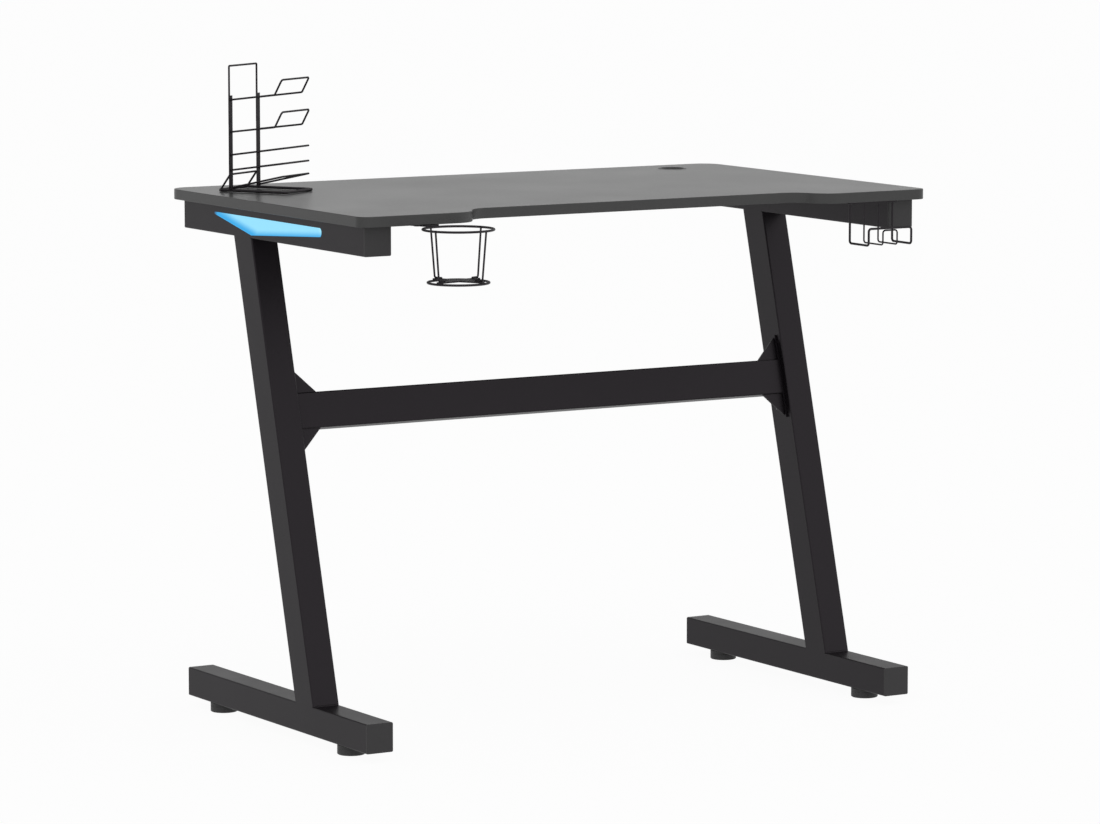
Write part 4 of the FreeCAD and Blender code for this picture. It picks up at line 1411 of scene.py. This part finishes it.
@dataclass
class Studio:
    """Pale floor, soft light and the camera of the photograph."""

    camera_place: tuple[float, float, float] = (-3.6537, -6.0245, 1.2976)
    camera_yaw: float = 31.076
    camera_pitch: float = 7.107
    focal_pixels: float = 5099.5
    image_width: float = 1100.0
    sensor_width: float = 36.0
    floor_radius: float = 60.0
    floor_color: Color = (0.9, 0.9, 0.9)
    floor_spread: float = 0.02
    floor_grain: float = 0.4
    floor_glow: float = 0.95
    floor_shine: float = 0.71
    sky_low: Color = (1.0, 1.0, 1.0)
    sky_back: Color = (0.44, 0.44, 0.44)
    sky_front: Color = (1.05, 1.05, 1.05)
    sky_turn: tuple[float, float] = (0.04, 0.3)
    front_turn: tuple[float, float] = (-0.1, 0.5)
    softbox_size: float = 3.0
    softbox_height: float = 3.4
    softbox_power: float = 10.0

    @staticmethod
    def seen(recipe: Recipe, ray: str) -> Signal:
        """Value that is 1 for the rays of one kind and 0 for others."""
        return recipe.node("ShaderNodeLightPath", {}, {}, f"Is {ray} Ray")

    def floor(self) -> None:
        """Round pale floor that keeps the desk's shadow."""
        recipe = Recipe(bpy.data.materials.new("floor"))
        color = recipe.toned(recipe.noise(self.floor_grain), self.floor_color, self.floor_spread)
        matte = recipe.node("ShaderNodeBsdfDiffuse", {}, {"Color": color})
        camera = self.seen(recipe, "Camera")
        gloss = self.seen(recipe, "Glossy")
        white = recipe.node("ShaderNodeEmission", {}, {"Strength": 1.0})
        shine = recipe.node("ShaderNodeEmission", {}, {"Strength": self.floor_shine})
        bright = recipe.node("ShaderNodeMixShader", {}, {0: gloss, 1: white, 2: shine})
        share = self.floor_glow * camera.greater(gloss)
        mixed = recipe.node("ShaderNodeMixShader", {}, {0: share, 1: matte, 2: bright})
        recipe.node("ShaderNodeOutputMaterial", {}, {"Surface": mixed})
        mesh = bmesh.new()
        bmesh.ops.create_circle(mesh, cap_ends=True, segments=96, radius=self.floor_radius)
        data = bpy.data.meshes.new("floor")
        mesh.to_mesh(data)
        mesh.free()
        data.materials.append(recipe.owner)
        floor = bpy.data.objects.new("floor", data)
        bpy.context.scene.collection.objects.link(floor)

    def world(self) -> None:
        """Surroundings that are white to the camera, and light the desk more from the front."""
        world = bpy.data.worlds.new("studio")
        bpy.context.scene.world = world
        recipe = Recipe(world)
        direction = recipe.node("ShaderNodeTexCoord", {}, {}, "Generated")
        height = recipe.node("ShaderNodeSeparateXYZ", {}, {"Vector": direction}, "Z")
        ahead = 0 - recipe.node("ShaderNodeSeparateXYZ", {}, {"Vector": direction}, "Y")
        high = recipe.blend(ahead.rise(*self.front_turn), self.sky_back, self.sky_front)
        sky = recipe.blend(height.rise(*self.sky_turn), self.sky_low, high)
        shown = recipe.blend(self.seen(recipe, "Camera"), sky, self.sky_low)
        light = recipe.node("ShaderNodeBackground", {}, {"Color": shown, "Strength": 1.0})
        recipe.node("ShaderNodeOutputWorld", {}, {"Surface": light})

    def softbox(self) -> None:
        """Large soft lamp overhead."""
        lamp = bpy.data.lights.new("softbox", "AREA")
        lamp.size = self.softbox_size
        lamp.energy = self.softbox_power
        box = bpy.data.objects.new("softbox", lamp)
        box.location = (0, 0, self.softbox_height)
        bpy.context.scene.collection.objects.link(box)

    def camera(self) -> None:
        """Camera at the photograph's viewing angle."""
        lens = bpy.data.cameras.new("camera")
        lens.sensor_width = self.sensor_width
        lens.lens = self.focal_pixels / self.image_width * self.sensor_width
        lens.clip_end = 4 * self.floor_radius
        camera = bpy.data.objects.new("camera", lens)
        camera.location = self.camera_place
        camera.rotation_euler = (math.radians(90 - self.camera_pitch), 0, -math.radians(self.camera_yaw))
        bpy.context.scene.collection.objects.link(camera)
        bpy.context.scene.camera = camera

    def build(self) -> None:
        """Sets the stage."""
        bpy.context.scene.view_settings.view_transform = "Standard"
        self.floor()
        self.world()
        self.softbox()
        self.camera()


def panel_corners() -> dict[str, tuple[float, float]]:
    """Corners of the lit panel's lower edges.

    Returns:
        Each corner's place along the rail and up, by name.
    """
    low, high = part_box("left_light_panel")
    flange = 2.5 * MM
    knee_from_tip = 108 * MM
    nose_height = 11.5 * MM
    tip_height = 2.6 * MM
    top = high.z - flange
    tip = high.y - flange
    return {
        "knee": (tip - knee_from_tip, low.z + flange),
        "tip": (tip, top - tip_height),
        "nose": (low.y + flange, top - nose_height),
    }


def desk_finishes() -> list[Finish]:
    """Every finish on the desk.

    Returns:
        One finish for each material slot.
    """
    strip_to_lamp_face = 1.05 * MM
    lamp_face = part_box("right_led_strip")[0].x + strip_to_lamp_face
    return [
        Laminate(Slot.BOARD, color=(0.044, 0.044, 0.044), roughness=0.3, gloss=0.5),
        Moulding(Slot.BAND, color=(0.029, 0.029, 0.029), roughness=0.34, gloss=0.58),
        Moulding(Slot.PLASTIC, color=(0.0212, 0.0198, 0.0212), roughness=0.45, gloss=0.5),
        Moulding(Slot.NYLON, color=(0.04, 0.039, 0.04), roughness=0.5, gloss=0.4),
        PowderCoat(Slot.FRAME, color=(0.0056, 0.0044, 0.0056), roughness=0.36, gloss=0.27),
        PowderCoat(Slot.WIRE, color=(0.012, 0.0108, 0.012), roughness=0.38, gloss=0.3),
        BareMetal(Slot.BRASS, color=(0.72, 0.55, 0.25), roughness=0.3),
        BareMetal(Slot.STEEL, color=(0.3, 0.3, 0.31), roughness=0.4),
        LitDiffuser(Slot.PANEL, **panel_corners()),
        LampStrip(Slot.STRIP, lamp_face),
        Moulding(Slot.RUBBER, color=(0.008, 0.008, 0.008), roughness=0.75, gloss=0.2),
        CircuitBoard(Slot.CIRCUIT, mask_color=(0.02, 0.16, 0.07)),
        Moulding(Slot.BUTTON, color=(0.03, 0.03, 0.031), roughness=0.25, gloss=0.5),
    ]


def main() -> None:
    """Builds the desk's sub-assemblies in order, then the studio."""
    logging.basicConfig(level=logging.INFO, format="%(message)s")
    palette = Palette(desk_finishes())
    legs = LegFrame(palette)
    assemblies: list[SubAssembly] = [Tabletop(palette), legs, Stretcher(palette, lean=legs.lean())]
    glides = [f"{row}_{side}_glide" for row in ("front", "rear") for side in SIDES]
    assemblies += [Glide(palette, body) for body in glides]
    assemblies += [
        LightKit(palette),
        CupHolder(palette, "cup_holder"),
        HeadphoneHook(palette),
        GameRack(palette, "rack"),
    ]
    for assembly in assemblies:
        assembly.build()
    Studio().build()


if __name__ == "__main__":
    main()
